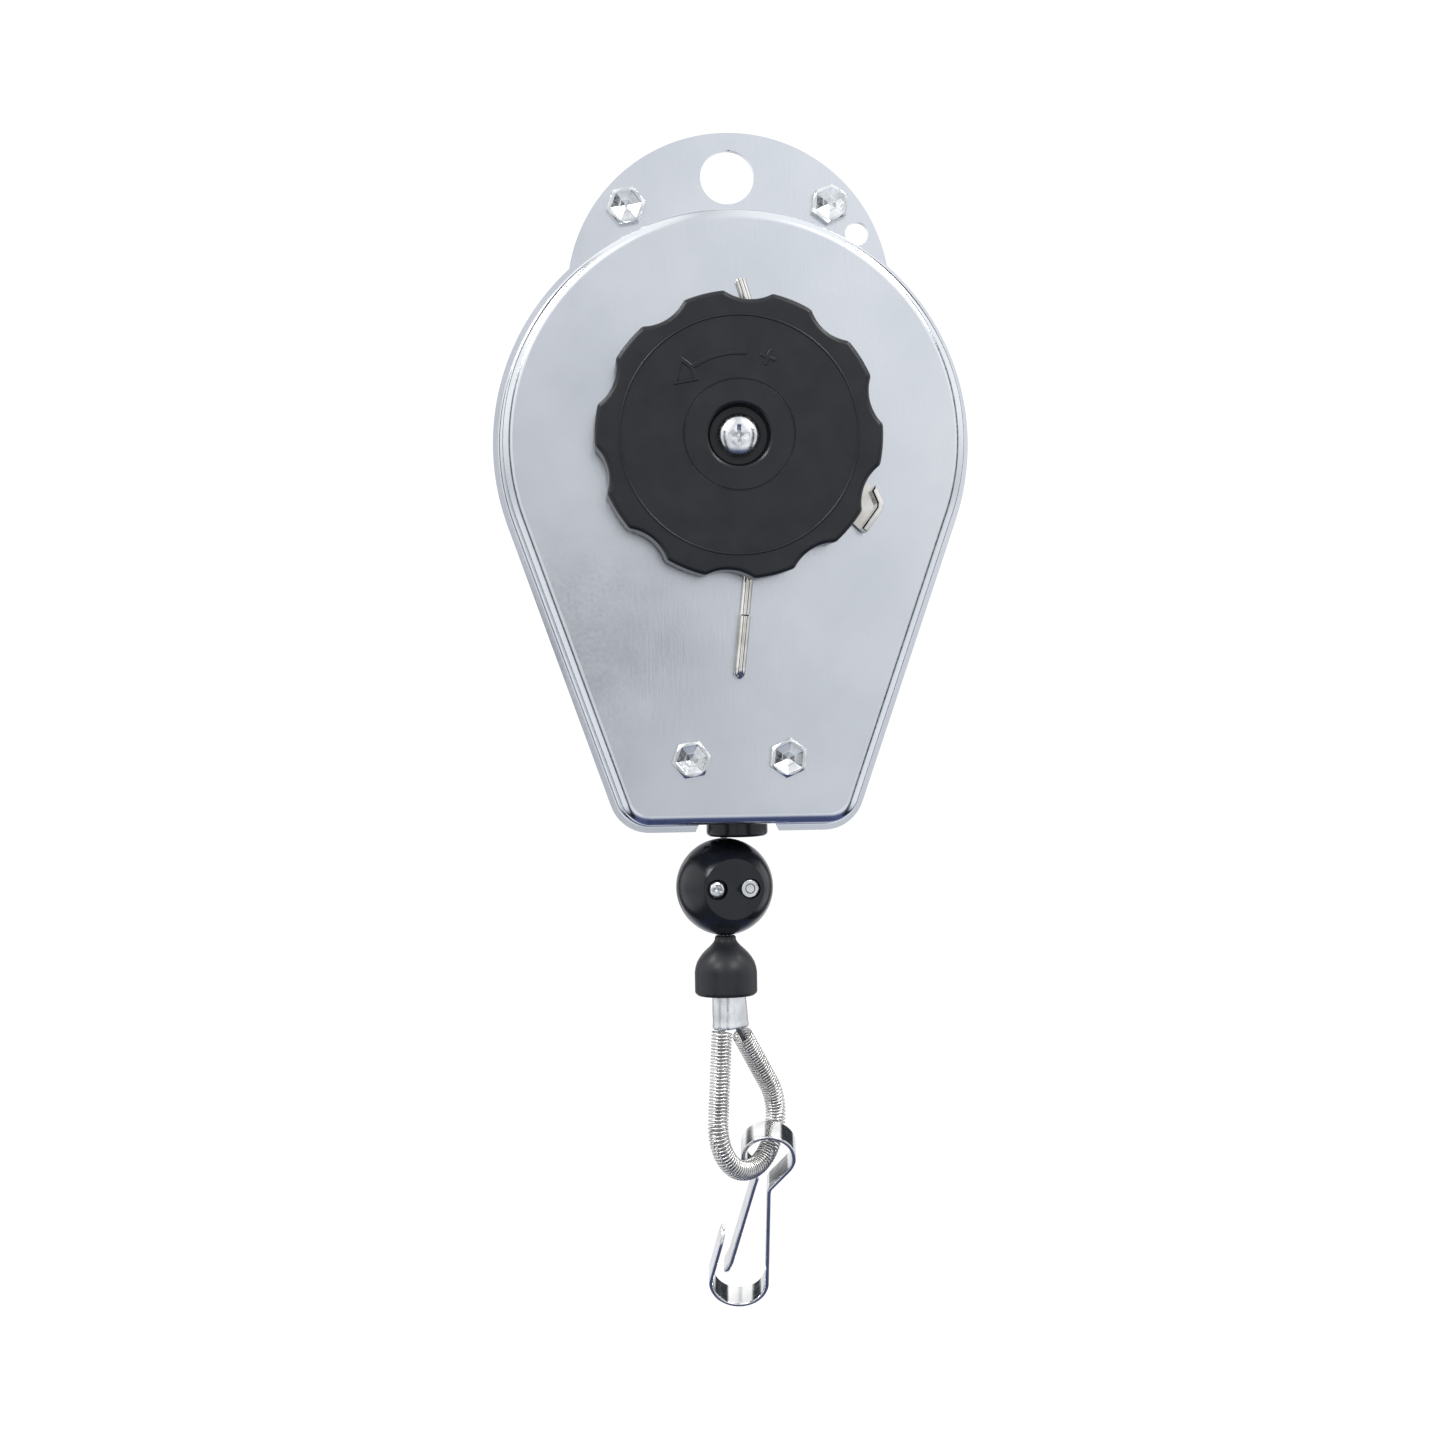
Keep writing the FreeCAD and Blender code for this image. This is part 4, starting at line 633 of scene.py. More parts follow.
class BALANCER_OT_bolts(bpy.types.Operator):
    """Make one bolt and one nut, and put their copies through the ear and the case."""

    bl_idname = "balancer.bolts"
    bl_label = "Bolts and nuts"

    def execute(self, context):
        pairs = (("ear", 29.7, 69.6, -2.0, 2.0, 9.0), ("case", 13.9, -91.2, -20.0, 38.0, 45.0))
        head = hex_blank("bolt_head", mm(10), mm(4), mm(1.1))
        nut = hex_blank("nut", mm(10), mm(5), mm(0.0))
        bore = upright_pin("bore", mm(3.0), mm(-2), mm(8), 48)
        soften(carve(nut, bore), mm(0.35), 2, 60)
        for name, side, rise, seat, far, end in pairs:
            bolts, nuts = [], []
            for sign, roll in ((-1, 9.0), (1, 24.0)):
                cap = place(copy_of(head, "cap"), stand_to(sign * mm(side), mm(rise), mm(seat), -1, roll))
                shank = thread("shank", mm(2.95), mm(-0.5), mm(end - seat), mm(1.0))
                place(shank, stand_to(sign * mm(side), mm(rise), mm(seat), 1, roll))
                bolts += [cap, shank]
                spun = stand_to(sign * mm(side), mm(rise), mm(far), 1, roll + 15)
                nuts.append(place(copy_of(nut, "turned_nut"), spun))
            bolts, nuts = join(f"{name}_hex_bolts", bolts), join(f"{name}_hex_nuts", nuts)
            zinc = "housing", "zinc_steel", FINISHES["zinc"]
            dress(bolts, f"{name}_hex_bolts", *zinc, [f"{name}_bolts"], 12)
            dress(nuts, f"{name}_hex_nuts", *zinc, [f"{name}_nuts"], 14)
        for spare in (head, nut):
            bpy.data.objects.remove(spare)
        return {"FINISHED"}


# ---- Knob ----


def polar(radius, degrees):
    """A spot on the knob face, its radius in millimetres."""
    turn = math.radians(degrees)
    return mm(radius) * math.cos(turn), mm(radius) * math.sin(turn)


def cross(arm, half):
    """The outline of a plus sign, its arms of one reach and half width."""
    plus = [(arm, half), (half, half), (half, arm), (-half, arm), (-half, half), (-arm, half)]
    return plus + [(-a, -b) for a, b in plus]


def raised(name, outline, low, high):
    """A low mark standing on the knob face."""
    mark = skin(name, [level(outline, low), level(outline, high)])
    return soften(mark, mm(0.22), 3, 40)


def lobed(radius, lobes, grow):
    """The knob's outline: lobes with rounded corners, and a hollow between each two of them."""
    hollow, away, corner = mm(13.0), mm(50.8), mm(1.8)
    across = (away**2 + (radius - corner) ** 2 - (hollow + corner) ** 2) / (2 * away * (radius - corner))
    swing = math.degrees(math.acos(across))
    outline = []
    for index in range(lobes):
        middle = 13.4 + 360 / lobes * index
        spots = []
        for side in (-1, 1):
            turn = math.radians(middle + side * swing)
            spots.append(((radius - corner) * math.cos(turn), (radius - corner) * math.sin(turn)))
        hub = (away * math.cos(math.radians(middle)), away * math.sin(math.radians(middle)))
        ways = [math.degrees(math.atan2(z - hub[1], x - hub[0])) for x, z in spots]
        span = (ways[1] - ways[0]) % 360 - 360
        low, high = middle - swing, middle + swing
        meet = ways[0] + 180 - low
        bend = (meet + 180) % 360 - 180
        outline += arc(*spots[0], corner + grow, low, low + bend, 6)
        outline += arc(*hub, hollow - grow, ways[0], ways[0] + span, 18)[1:-1]
        outline += arc(*spots[1], corner + grow, high - bend, high, 6)
        outline += arc(0, 0, radius + grow, high, 360 / lobes + low, 12)[1:-1]
    return outline


class BALANCER_OT_knob(bpy.types.Operator):
    """Mould the lobed knob: a disc with hollows between its lobes, a deep skirt, ring lines and marks."""

    bl_idname = "balancer.knob"
    bl_label = "Tension knob"

    def execute(self, context):
        face, back, radius, lobes = mm(-45.0), mm(-25.6), sizes().knob, sizes().lobes
        rows = [(0.0, back), (0.0, face + mm(1.4))]
        rows += [(x, -y) for x, y in arc(mm(-1.4), -face - mm(1.4), mm(1.4), 10, 90, 6)]
        knob = skin("knob_body", [level(lobed(radius, lobes, out), deep) for out, deep in rows])
        skirt = round_outline(0, 0, mm(33.5), 120)
        hub = round_outline(0, 0, mm(11.0), 64)
        hollow = skin("skirt", [level(skirt, mm(-41.5)), level(skirt, mm(-20))])
        carve(hollow, skin("hub", [level(hub, mm(-43)), level(hub, mm(-10))]))
        carve(knob, hollow)
        recess = [(0, mm(-46)), (mm(10.4), mm(-46)), (mm(8.8), mm(-44.4)), (mm(8.8), mm(-41.4))]
        recess += [(mm(8.0), mm(-40.6)), (0, mm(-40.6))]
        carve(knob, lathe("recess", recess, steps=96))
        carve(knob, pin_cutter(0, 0, mm(3.2), mm(-50), mm(-10), 48))
        cut = arc(mm(15.5), face, mm(0.25), 0, 360, 12)[:-1]
        carve(knob, lathe("line", [*cut, cut[0]], steps=160))
        soften(knob, mm(0.3), 2, 50)
        bead = arc(mm(33.3), face, mm(0.34), 0, 360, 12)[:-1]
        bead = lathe("bead", [*bead, bead[0]], steps=180)
        shaft = [polar(23.6, 84 + 5 * step) for step in range(9)]
        shaft += [polar(22.2, 124 - 5 * step) for step in range(9)]
        tip = [polar(27.1, 126), polar(22.9, 143), polar(18.7, 126), polar(22.9, 123)]
        x, z = polar(22.9, 68.8)
        lean = math.radians(-21)
        swung, risen = math.cos(lean), math.sin(lean)
        plus = [
            (x + a * swung - b * risen, z + a * risen + b * swung) for a, b in cross(mm(2.4), mm(0.5))
        ]
        marks = [raised("shaft", shaft, face + mm(0.3), face - mm(0.38))]
        marks.append(raised("plus", plus, face + mm(0.3), face - mm(0.38)))
        mid = (sum(a for a, _ in tip[:3]) / 3, sum(b for _, b in tip[:3]) / 3)
        inner = [(mid[0] + (a - mid[0]) * 0.62, mid[1] + (b - mid[1]) * 0.62) for a, b in tip]
        crest, trough = inset(tip, mm(0.2)), inset(inner, mm(-0.2))
        loop = [(tip, mm(0.3)), (tip, mm(-0.18)), (crest, mm(-0.38)), (trough, mm(-0.38)), (inner, mm(-0.18))]
        loop += [(inner, mm(0.3)), (tip, mm(0.3))]
        marks.append(skin("tip", [level(outline, face + deep) for outline, deep in loop]))
        knob = join("tension_knob", [knob, bead, *marks])
        dress(knob, "tension_knob", "arbor", "black_plastic", FINISHES["knob"], ["knob"])
        screw = pan_screw("knob_pan_screw", mm(6.1), mm(3.7), mm(3.0), mm(2.3))
        shank = thread("shank", mm(2.9), mm(-12), mm(0.5), mm(1.0))
        screw = join("knob_pan_screw", [screw, shank])
        place(screw, stand_to(0, 0, mm(-40.6), -1, 0))
        dress(screw, "knob_pan_screw", "arbor", "zinc_steel", FINISHES["zinc"], ["knob_screw"])
        return {"FINISHED"}


def pan_screw(name, radius, height, reach, depth):
    """An upright pan head, with a cross recess that narrows downwards."""
    dome = [(0, 0), (radius, 0), (radius, height * 0.32)]
    for step in range(1, 9):
        turn = math.radians(90 * step / 9)
        dome.append((radius * (0.35 + 0.65 * math.cos(turn)), height * (0.32 + 0.68 * math.sin(turn))))
    dome.append((0, height))
    head = lathe(name, dome, Vector((0, 0, 0)), UP, 96)
    arms = []
    for spread, rise in ((1.0, height + mm(0.5)), (0.93, height - depth * 0.2), (0.12, height - depth)):
        arm, half = reach * spread, mm(0.62) * (0.55 + 0.45 * spread)
        arms.append(standing(cross(arm, half), rise))
    carve(head, skin("driver", arms))
    return soften(head, mm(0.1), 2, 30)


# ---- Cable guide, stop ball and cap ----


class BALANCER_OT_guide(bpy.types.Operator):
    """Turn the cable guide: collars inside and under the case floor, and a trumpet mouth."""

    bl_idname = "balancer.guide"
    bl_label = "Cable guide"

    def execute(self, context):
        low, floor, top, bore = mm(-114.7), mm(-110.3), mm(-96.0), mm(5.1)
        profile = arc(bore + mm(2.4), low + mm(2.4), mm(2.4), 180, 270, 8)
        profile += arc(mm(7.8), low + mm(1.2), mm(1.2), 270, 360, 6)
        profile += arc(mm(8.6), floor - mm(0.4), mm(0.4), 0, 90, 3)
        profile += [(mm(7.0), floor), (mm(7.0), floor + mm(2.0)), (mm(9.0), floor + mm(2.0)), (mm(9.0), top)]
        profile += arc(bore + mm(2.4), top - mm(2.4), mm(2.4), 90, 180, 8)
        guide = lathe("cable_mouth", [*profile, profile[0]], axis=UP, steps=112)
        dress(guide, "cable_mouth", "housing", "black_plastic", FINISHES["ball"], ["cable_guide"])
        return {"FINISHED"}


# The rope hangs this far to the left of the arbor.
ROPE_SIDE = mm(-3.95)
BALL = ARBOR + Vector((ROPE_SIDE, 0, mm(-129.6)))
CAP_TOP = ARBOR + Vector((ROPE_SIDE, 0, mm(-144.0)))


class BALANCER_OT_ball(bpy.types.Operator):
    """Mould the two halves of the stop ball, and screw them together round the cable."""

    bl_idname = "balancer.ball"
    bl_label = "Stop ball"

    def execute(self, context):
        radius, flat, seat, side = sizes().ball, mm(11.2), mm(8.8), mm(4.95)
        halves, screws, nuts = [], [], []
        for name, ahead in (("front", -1), ("rear", 1)):
            rim = math.degrees(math.asin(flat / radius))
            profile = [(0, mm(0.2)), *arc(0, 0, radius, 0.8, rim, 40), (0, flat)]
            half = lathe(f"ball_{name}", profile, Vector((0, 0, 0)), BACK * ahead, 128)
            carve(half, upright_pin("rope_way", mm(1.15), mm(-20), mm(20), 40))
            for way in (-1, 1):
                sink = [(0, mm(30)), (mm(3.0), mm(30)), (mm(3.0), seat), (0, seat)]
                cutter = lathe("sink", sink, Vector((way * side, 0, 0)), BACK * ahead, 64)
                carve(half, cutter)
            soften(half, mm(0.35), 3, 32)
            halves.append(half)
        turn = Matrix.Translation(BALL) @ Matrix.Rotation(math.radians(12.0), 4, "Z")
        for half, name, node_name in zip(halves, ("front", "rear"), ("ball_front", "ball_rear")):
            place(half, turn)
            dress(half, f"stop_ball_{name}_half", "load", "black_plastic", FINISHES["ball"], [node_name], 40)
        for way, ahead in ((-1, -1), (1, 1)):
            quarter = Matrix.Rotation(math.radians(90 if ahead < 0 else -90), 4, "X")
            other = Matrix.Rotation(math.radians(-90 if ahead < 0 else 90), 4, "X")
            head = pan_screw("screw_head", mm(2.8), mm(2.0), mm(1.6), mm(1.2))
            place(head, turn @ Matrix.Translation((way * side, ahead * seat, 0)) @ quarter)
            shank = thread("shank", mm(1.45), mm(-0.2), mm(19.4), mm(0.5))
            place(shank, turn @ Matrix.Translation((way * side, ahead * seat, 0)) @ other)
            screws += [head, shank]
            nut = hex_blank("small_nut", mm(5.1), mm(1.8), mm(0.0))
            bore = upright_pin("bore", mm(1.5), mm(-1), mm(3), 32)
            carve(nut, bore)
            place(nut, turn @ Matrix.Translation((way * side, -ahead * seat, 0)) @ other)
            nuts.append(nut)
        screws, nuts = join("ball_clamp_screws", screws), join("ball_clamp_nuts", nuts)
        dress(screws, "ball_clamp_screws", "load", "zinc_steel", FINISHES["zinc"], ["ball_screws"])
        dress(nuts, "ball_clamp_nuts", "load", "zinc_steel", FINISHES["zinc"], ["ball_nuts"])
        return {"FINISHED"}


class BALANCER_OT_cap(bpy.types.Operator):
    """Turn the bell-shaped cap that hides the top of the ferrule."""

    bl_idname = "balancer.cap"
    bl_label = "Rope cap"

    def execute(self, context):
        # Radius and drop of the bell, from its neck down to its rim.
        bell = [(3.1, 0.5), (3.15, 1.2), (3.6, 2.0), (4.5, 3.0), (5.6, 4.0), (6.7, 5.1), (7.7, 6.4)]
        bell += [(8.5, 7.8), (8.95, 9.2), (9.2, 10.8), (9.2, 16.5), (9.05, 16.9), (8.4, 17.5), (8.2, 17.6)]
        bell += [(7.9, 17.6), (7.6, 17.3), (7.6, 11.0), (7.0, 10.2), (1.15, 10.0), (1.15, 0.2), (1.4, 0.0)]
        bell += [(2.7, 0.0), (3.0, 0.2)]
        profile = [(mm(radius), mm(-drop)) for radius, drop in bell]
        cap = lathe("bell_cap", [*profile, profile[0]], CAP_TOP, UP, 112)
        dress(cap, "bell_cap", "load", "black_cap", FINISHES["cap"], ["rope_cap"], 28)
        return {"FINISHED"}


# ---- Wire rope, ferrule and spring guard ----

LOOP_TURN = Matrix.Rotation(math.radians(52.0), 4, "Z")
LOOP_PLANE = Matrix.Translation(ARBOR + Vector((ROPE_SIDE, 0, 0))) @ LOOP_TURN


def in_loop(points):
    """Points of the loop plane, as side and height from the arbor, put in space."""
    return [LOOP_PLANE @ Vector((mm(side), 0, mm(height))) for side, height in points]


def route(points):
    """Evenly smooth points read from a NURBS line through the given control points."""
    line = bpy.data.curves.new("route", "CURVE")
    line.dimensions = "3D"
    line.resolution_u = 24
    spline = line.splines.new("NURBS")
    spline.points.add(len(points) - 1)
    for control, point in zip(spline.points, points):
        control.co = (*point, 1.0)
    spline.order_u = 3
    spline.use_endpoint_u = True
    holder = bpy.data.objects.new("route", line)
    bpy.context.scene.collection.objects.link(holder)
    bpy.context.view_layer.update()
    mesh = bpy.data.meshes.new_from_object(holder)
    found = [vertex.co.copy() for vertex in mesh.vertices]
    bpy.data.objects.remove(holder)
    bpy.data.curves.remove(line)
    bpy.data.meshes.remove(mesh)
    return found


def lengths_along(points):
    """The length of a line from its start to each of its points."""
    lengths = [0.0]
    for start, end in zip(points, points[1:]):
        lengths.append(lengths[-1] + (end - start).length)
    return lengths


def heading(points, index):
    """The direction of a line at one of its points."""
    return (points[min(index + 1, len(points) - 1)] - points[max(index - 1, 0)]).normalized()


def stations(points, gap):
    """Places one gap apart along a line, each with its direction and two steady directions across it."""
    spots, lengths = [points[0]], lengths_along(points)
    count = max(2, round(lengths[-1] / gap))
    index = 0
    for step in range(1, count + 1):
        wanted = lengths[-1] * step / count
        while index < len(lengths) - 2 and lengths[index + 1] < wanted:
            index += 1
        share = (wanted - lengths[index]) / (lengths[index + 1] - lengths[index])
        spots.append(points[index].lerp(points[index + 1], share))
    frames = []
    across = None
    for index, spot in enumerate(spots):
        ahead = heading(spots, index)
        if across is None:
            across = ahead.orthogonal().normalized()
        across = (across - ahead * across.dot(ahead)).normalized()
        frames.append((spot, ahead, across, ahead.cross(across)))
    return frames


def stranded(name, points, radius, lay=9.0, strands=6):
    """A rope of strands: a lobed section that turns once in each lay, in rope diameters, along the line."""
    sections = []
    gap = radius * 0.5
    for index, (spot, _, across, up) in enumerate(stations(points, gap)):
        turn = math.tau * index * gap / (lay * 2 * radius)
        ring = []
        for corner in range(strands * 6):
            angle = math.tau * corner / (strands * 6)
            lobe = radius * (0.86 + 0.14 * abs(math.cos(strands * angle / 2)) ** 0.7)
            ring.append(spot + (across * math.cos(angle + turn) + up * math.sin(angle + turn)) * lobe)
        sections.append(ring)
    return skin(name, sections)


def loop_route():
    """The rope's way from the ball through the cap and ferrule, round its loop and back into the ferrule."""
    return in_loop(
        [
            (0.0, -115.3),
            (0.0, -150.0),
            (0.0, -159.5),
            (-2.1, -167.0),
            (-3.4, -180.5),
            (-4.53, -192.26),
            (-5.73, -204.66),
            (2.21, -214.25),
            (14.6, -215.41),
            (24.18, -207.45),
            (25.3, -195.05),
            (17.3, -185.51),
            (9.03, -175.6),
            (3.34, -168.8),
            (3.3, -163.0),
            (3.3, -156.4),
        ]
    )


def filleted(points, radii):
    """A line through the points with its inner corners rounded, as a bender leaves it."""
    points = [Vector(point) for point in points]
    line = [points[0]]
    for before, corner, after, radius in zip(points, points[1:], points[2:], radii):
        way_in, way_out = (corner - before).normalized(), (after - corner).normalized()
        bend = way_in.angle(way_out)
        reach = radius * math.tan(bend / 2)
        hub = corner + (way_out - way_in).normalized() * (radius / math.cos(bend / 2))
        start = corner - way_in * reach - hub
        axis = way_in.cross(way_out).normalized()
        count = max(4, round(math.degrees(bend) / 6))
        line += [hub + Matrix.Rotation(bend * step / count, 3, axis) @ start for step in range(count + 1)]
    return [*line, points[-1]]


class BALANCER_OT_rope(bpy.types.Operator):
    """Lay the wire rope: the tail above the ball, and the rest down to its loop."""

    bl_idname = "balancer.rope"
    bl_label = "Wire rope"

    def execute(self, context):
        radius = sizes().rope
        rope = stranded("rope_and_loop", route(loop_route()), radius)
        dress(rope, "rope_and_loop", "load", "wire_rope", FINISHES["rope"], ["load_cable"], 60)
        straight = in_loop([(0.0, -115.4), (0.0, -112.0), (0.0, -107.0), (0.0, -103.2)])
        tail = stranded("rope_tail", route(straight), radius)
        tail = dress(tail, "rope_tail", "load", "wire_rope", FINISHES["rope"], ["cable_tail"], 60)
        tail.parent = None
        if "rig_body" in tail:
            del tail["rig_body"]
        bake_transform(tail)
        return {"FINISHED"}


def slot_ring(middle, long, half, height):
    """A slot outline across the rope, its long side in the loop plane."""
    reach = long / 2 - half
    outline = arc(middle + reach, 0, half, -90, 90, 16) + arc(middle - reach, 0, half, 90, 270, 16)
    return [LOOP_PLANE @ Vector((mm(x), mm(y), mm(height))) for x, y in outline]


class BALANCER_OT_ferrule(bpy.types.Operator):
    """Press the ferrule: a flat sleeve that widens downwards, with the shallow bands of the press."""

    bl_idname = "balancer.ferrule"
    bl_label = "Ferrule"

    def execute(self, context):
        top, low = -156.0, -171.6
        sections = []
        for step in range(33):
            share = step / 32
            height = top + (low - top) * share
            band = 0.16 * max(0.0, math.sin(math.pi * 3.0 * share)) ** 2
            edge = 0.45 * max(0.0, 1 - min(share, 1 - share) * 26)
            middle, long = 1.0 + 1.1 * share, 11.2 + 2.9 * share
            sections.append(slot_ring(middle, long - 2 * edge - band, 3.3 - edge - band, height))
        sleeve = skin("pressed_ferrule", sections)
        dress(sleeve, "pressed_ferrule", "load", "ferrule_alloy", FINISHES["ferrule"], ["ferrule"], 40)
        return {"FINISHED"}


class BALANCER_OT_guard(bpy.types.Operator):
    """Wind the spring guard round the loop, as one wire whose turns lie nearly close."""

    bl_idname = "balancer.guard"
    bl_label = "Spring guard"

    def execute(self, context):
        wire, pitch = sizes().coil_wire, sizes().coil_pitch
        line = route(loop_route())
        upper, lower = ARBOR.z + mm(-172.0), ARBOR.z + mm(-173.8)
        first = next(index for index, point in enumerate(line) if point.z < upper)
        last = max(index for index, point in enumerate(line) if point.z < lower)
        frames = stations(line[first : last + 1], mm(0.05))
        reach = mm(3.1) - wire / 2
        phase, helix = 0.0, []
        for index, (spot, ahead, across, up) in enumerate(frames):
            other = frames[min(index + 40, len(frames) - 1)][1]
            bent = min(1.0, ahead.angle(other, 0.0) / 0.11)
            phase += math.tau * mm(0.05) / (pitch * (0.94 + 0.06 * bent))
            helix.append(spot + (across * math.cos(phase) + up * math.sin(phase)) * reach)
        winding = bpy.data.curves.new("winding", "CURVE")
        winding.dimensions = "3D"
        winding.bevel_depth = wire / 2
        winding.bevel_resolution = 1
        winding.use_fill_caps = True
        spline = winding.splines.new("POLY")
        spline.points.add(len(helix) - 1)
        for control, point in zip(spline.points, helix):
            control.co = (*point, 1.0)
        coil = bpy.data.objects.new("loop_spring_guard", winding)
        context.scene.collection.objects.link(coil)
        only(coil)
        bpy.ops.object.convert(target="MESH")
        coil = context.object
        dress(coil, "loop_spring_guard", "load", "spring_steel", FINISHES["spring"], ["loop_guard"], 70)
        return {"FINISHED"}


# ---- Snap hook, its gate, the release wire and the pawl ----

HOOK_PLACE = (
    Matrix.Translation(ARBOR + Vector((mm(8.7), mm(14.9), mm(-210.5))))
    @ Matrix.Rotation(math.radians(-4.0), 4, "Z")
    @ Matrix.Rotation(math.radians(28.0), 4, "X")
)


def bent_strip(name, line, width_at):
    """Strip with rolled edges bent along a line; width_at takes the length so far and the whole length."""
    half = sizes().strip_thick / 2
    lengths = lengths_along(line)
    sections = []
    for index, spot in enumerate(line):
        ahead = heading(line, index)
        out = Vector((-ahead.z, 0, ahead.x))
        wide = width_at(lengths[index], lengths[-1]) / 2
        roll = min(half * 0.75, wide * 0.6)
        flat, thick, ring = wide - roll, half - roll, []
        for quarter, (x, z) in enumerate(((flat, thick), (-flat, thick), (-flat, -thick), (flat, -thick))):
            ring += arc(x, z, roll, 90 * quarter, 90 * quarter + 90, 3)
        sections.append([spot + Vector((0, 1, 0)) * across + out * through for across, through in ring])
    return place(skin(name, sections), HOOK_PLACE)


def evened(line, gap):
    """The same line with a point at least every gap."""
    points = [line[0]]
    for start, end in zip(line, line[1:]):
        count = max(1, math.ceil((end - start).length / gap))
        points += [start.lerp(end, step / count) for step in range(1, count + 1)]
    return points


class BALANCER_OT_hook(bpy.types.Operator):
    """Bend the snap hook out of strip: ring, neck, leg, bowl and nose, and the gate leaf inside it."""

    bl_idname = "balancer.hook"
    bl_label = "Snap hook and gate"

    def execute(self, context):
        mid, width = 7.65, sizes().strip
        ring = [Vector((mm(x), 0, mm(z))) for x, z in arc(0, 0, mid, 244, -39.2, 72)]
        neck, foot = Vector((0, 0, mm(-12.1))), Vector((mm(-1.2), 0, mm(-47.9)))
        leg = filleted([ring[-1], neck, foot], [mm(3.0)])
        bowl = [Vector((mm(x), 0, mm(z))) for x, z in arc(-9.8, -47.9, 8.6, 0, -193.7, 56)]
        lean = math.radians(13.7)
        tip = bowl[-1] + Vector((math.sin(lean), 0, math.cos(lean))) * mm(17.6)
        line = evened(ring + leg[1:-1] + bowl + [tip], mm(1.4))
        fine = evened(line[-4:], mm(0.25))
        line = line[:-4] + fine

        def leaf(at, whole):
            left = whole - at
            if left < mm(5.0):
                return max(mm(0.8), width * math.sqrt(max(0.0, 1 - (1 - left / mm(5.0)) ** 2)))
            return width

        hook = bent_strip("strip_snap_hook", line, leaf)
        strip = "nickel_strip", FINISHES["nickel_strip"]
        dress(hook, "strip_snap_hook", "snap_hook", *strip, ["snap_hook"], 40)
        split = Vector((mm(mid * math.cos(math.radians(244))), 0, mm(mid * math.sin(math.radians(244)))))
        knee = Vector((mm(-4.4), 0, mm(-10.6)))
        start = split + (knee - split).normalized() * mm(0.62)
        ends = [Vector((mm(-11.9), 0, mm(-39.8))), Vector((mm(-13.8), 0, mm(-44.2)))]
        path = evened(filleted([start, knee, *ends], [mm(1.6), mm(4.0)]), mm(0.9))

        def gate_width(at, whole):
            left = whole - at
            if left < mm(2.5):
                return width * (0.72 + 0.28 * math.sqrt(max(0.0, 1 - (1 - left / mm(2.5)) ** 2)))
            return width

        gate = bent_strip("strip_gate", path, gate_width)
        dress(gate, "strip_gate", "hook_gate", *strip, ["hook_gate"], 40)
        return {"FINISHED"}


def round_bar(name, line, radius, count=28):
    """Round bar along a line, its cut ends broken by a small chamfer."""
    sections = []
    across = None
    lengths = lengths_along(line)
    for index, spot in enumerate(line):
        ahead = heading(line, index)
        across = across or ahead.orthogonal().normalized()
        across = (across - ahead * across.dot(ahead)).normalized()
        up = ahead.cross(across)
        edge = min(lengths[index], lengths[-1] - lengths[index])
        thin = radius * (1 - 0.22 * max(0.0, 1 - edge / mm(0.35)))
        turns = [math.tau * corner / count for corner in range(count)]
        sections.append([spot + (across * math.cos(turn) + up * math.sin(turn)) * thin for turn in turns])
    return skin(name, sections)


class BALANCER_OT_wire(bpy.types.Operator):
    """Bend the release wire out of round bar."""

    bl_idname = "balancer.wire"
    bl_label = "Release wire"

    def execute(self, context):
        spots = [(2.2, -21.9, 46.0), (9.8, -21.9, 21.0), (0.1, -21.9, -67.0)]
        spots += [(0.1, -26.3, -67.0), (2.0, -26.3, -50.0)]
        corners = [ARBOR + Vector((mm(x), mm(y), mm(z))) for x, y, z in spots]
        line = filleted(corners, [mm(7.0), mm(2.19), mm(2.19)])
        near = [line[0].lerp(line[1], mm(0.35) / (line[1] - line[0]).length)]
        far = [line[-1].lerp(line[-2], mm(0.35) / (line[-1] - line[-2]).length)]
        bar = round_bar("bent_release_wire", [line[0], *near, *line[1:-1], *far, line[-1]], sizes().rod)
        finish, nodes = FINISHES["nickel_rod"], ["release_wire"]
        dress(bar, "bent_release_wire", "release_wire", "bent_steel", finish, nodes, 40)
        return {"FINISHED"}


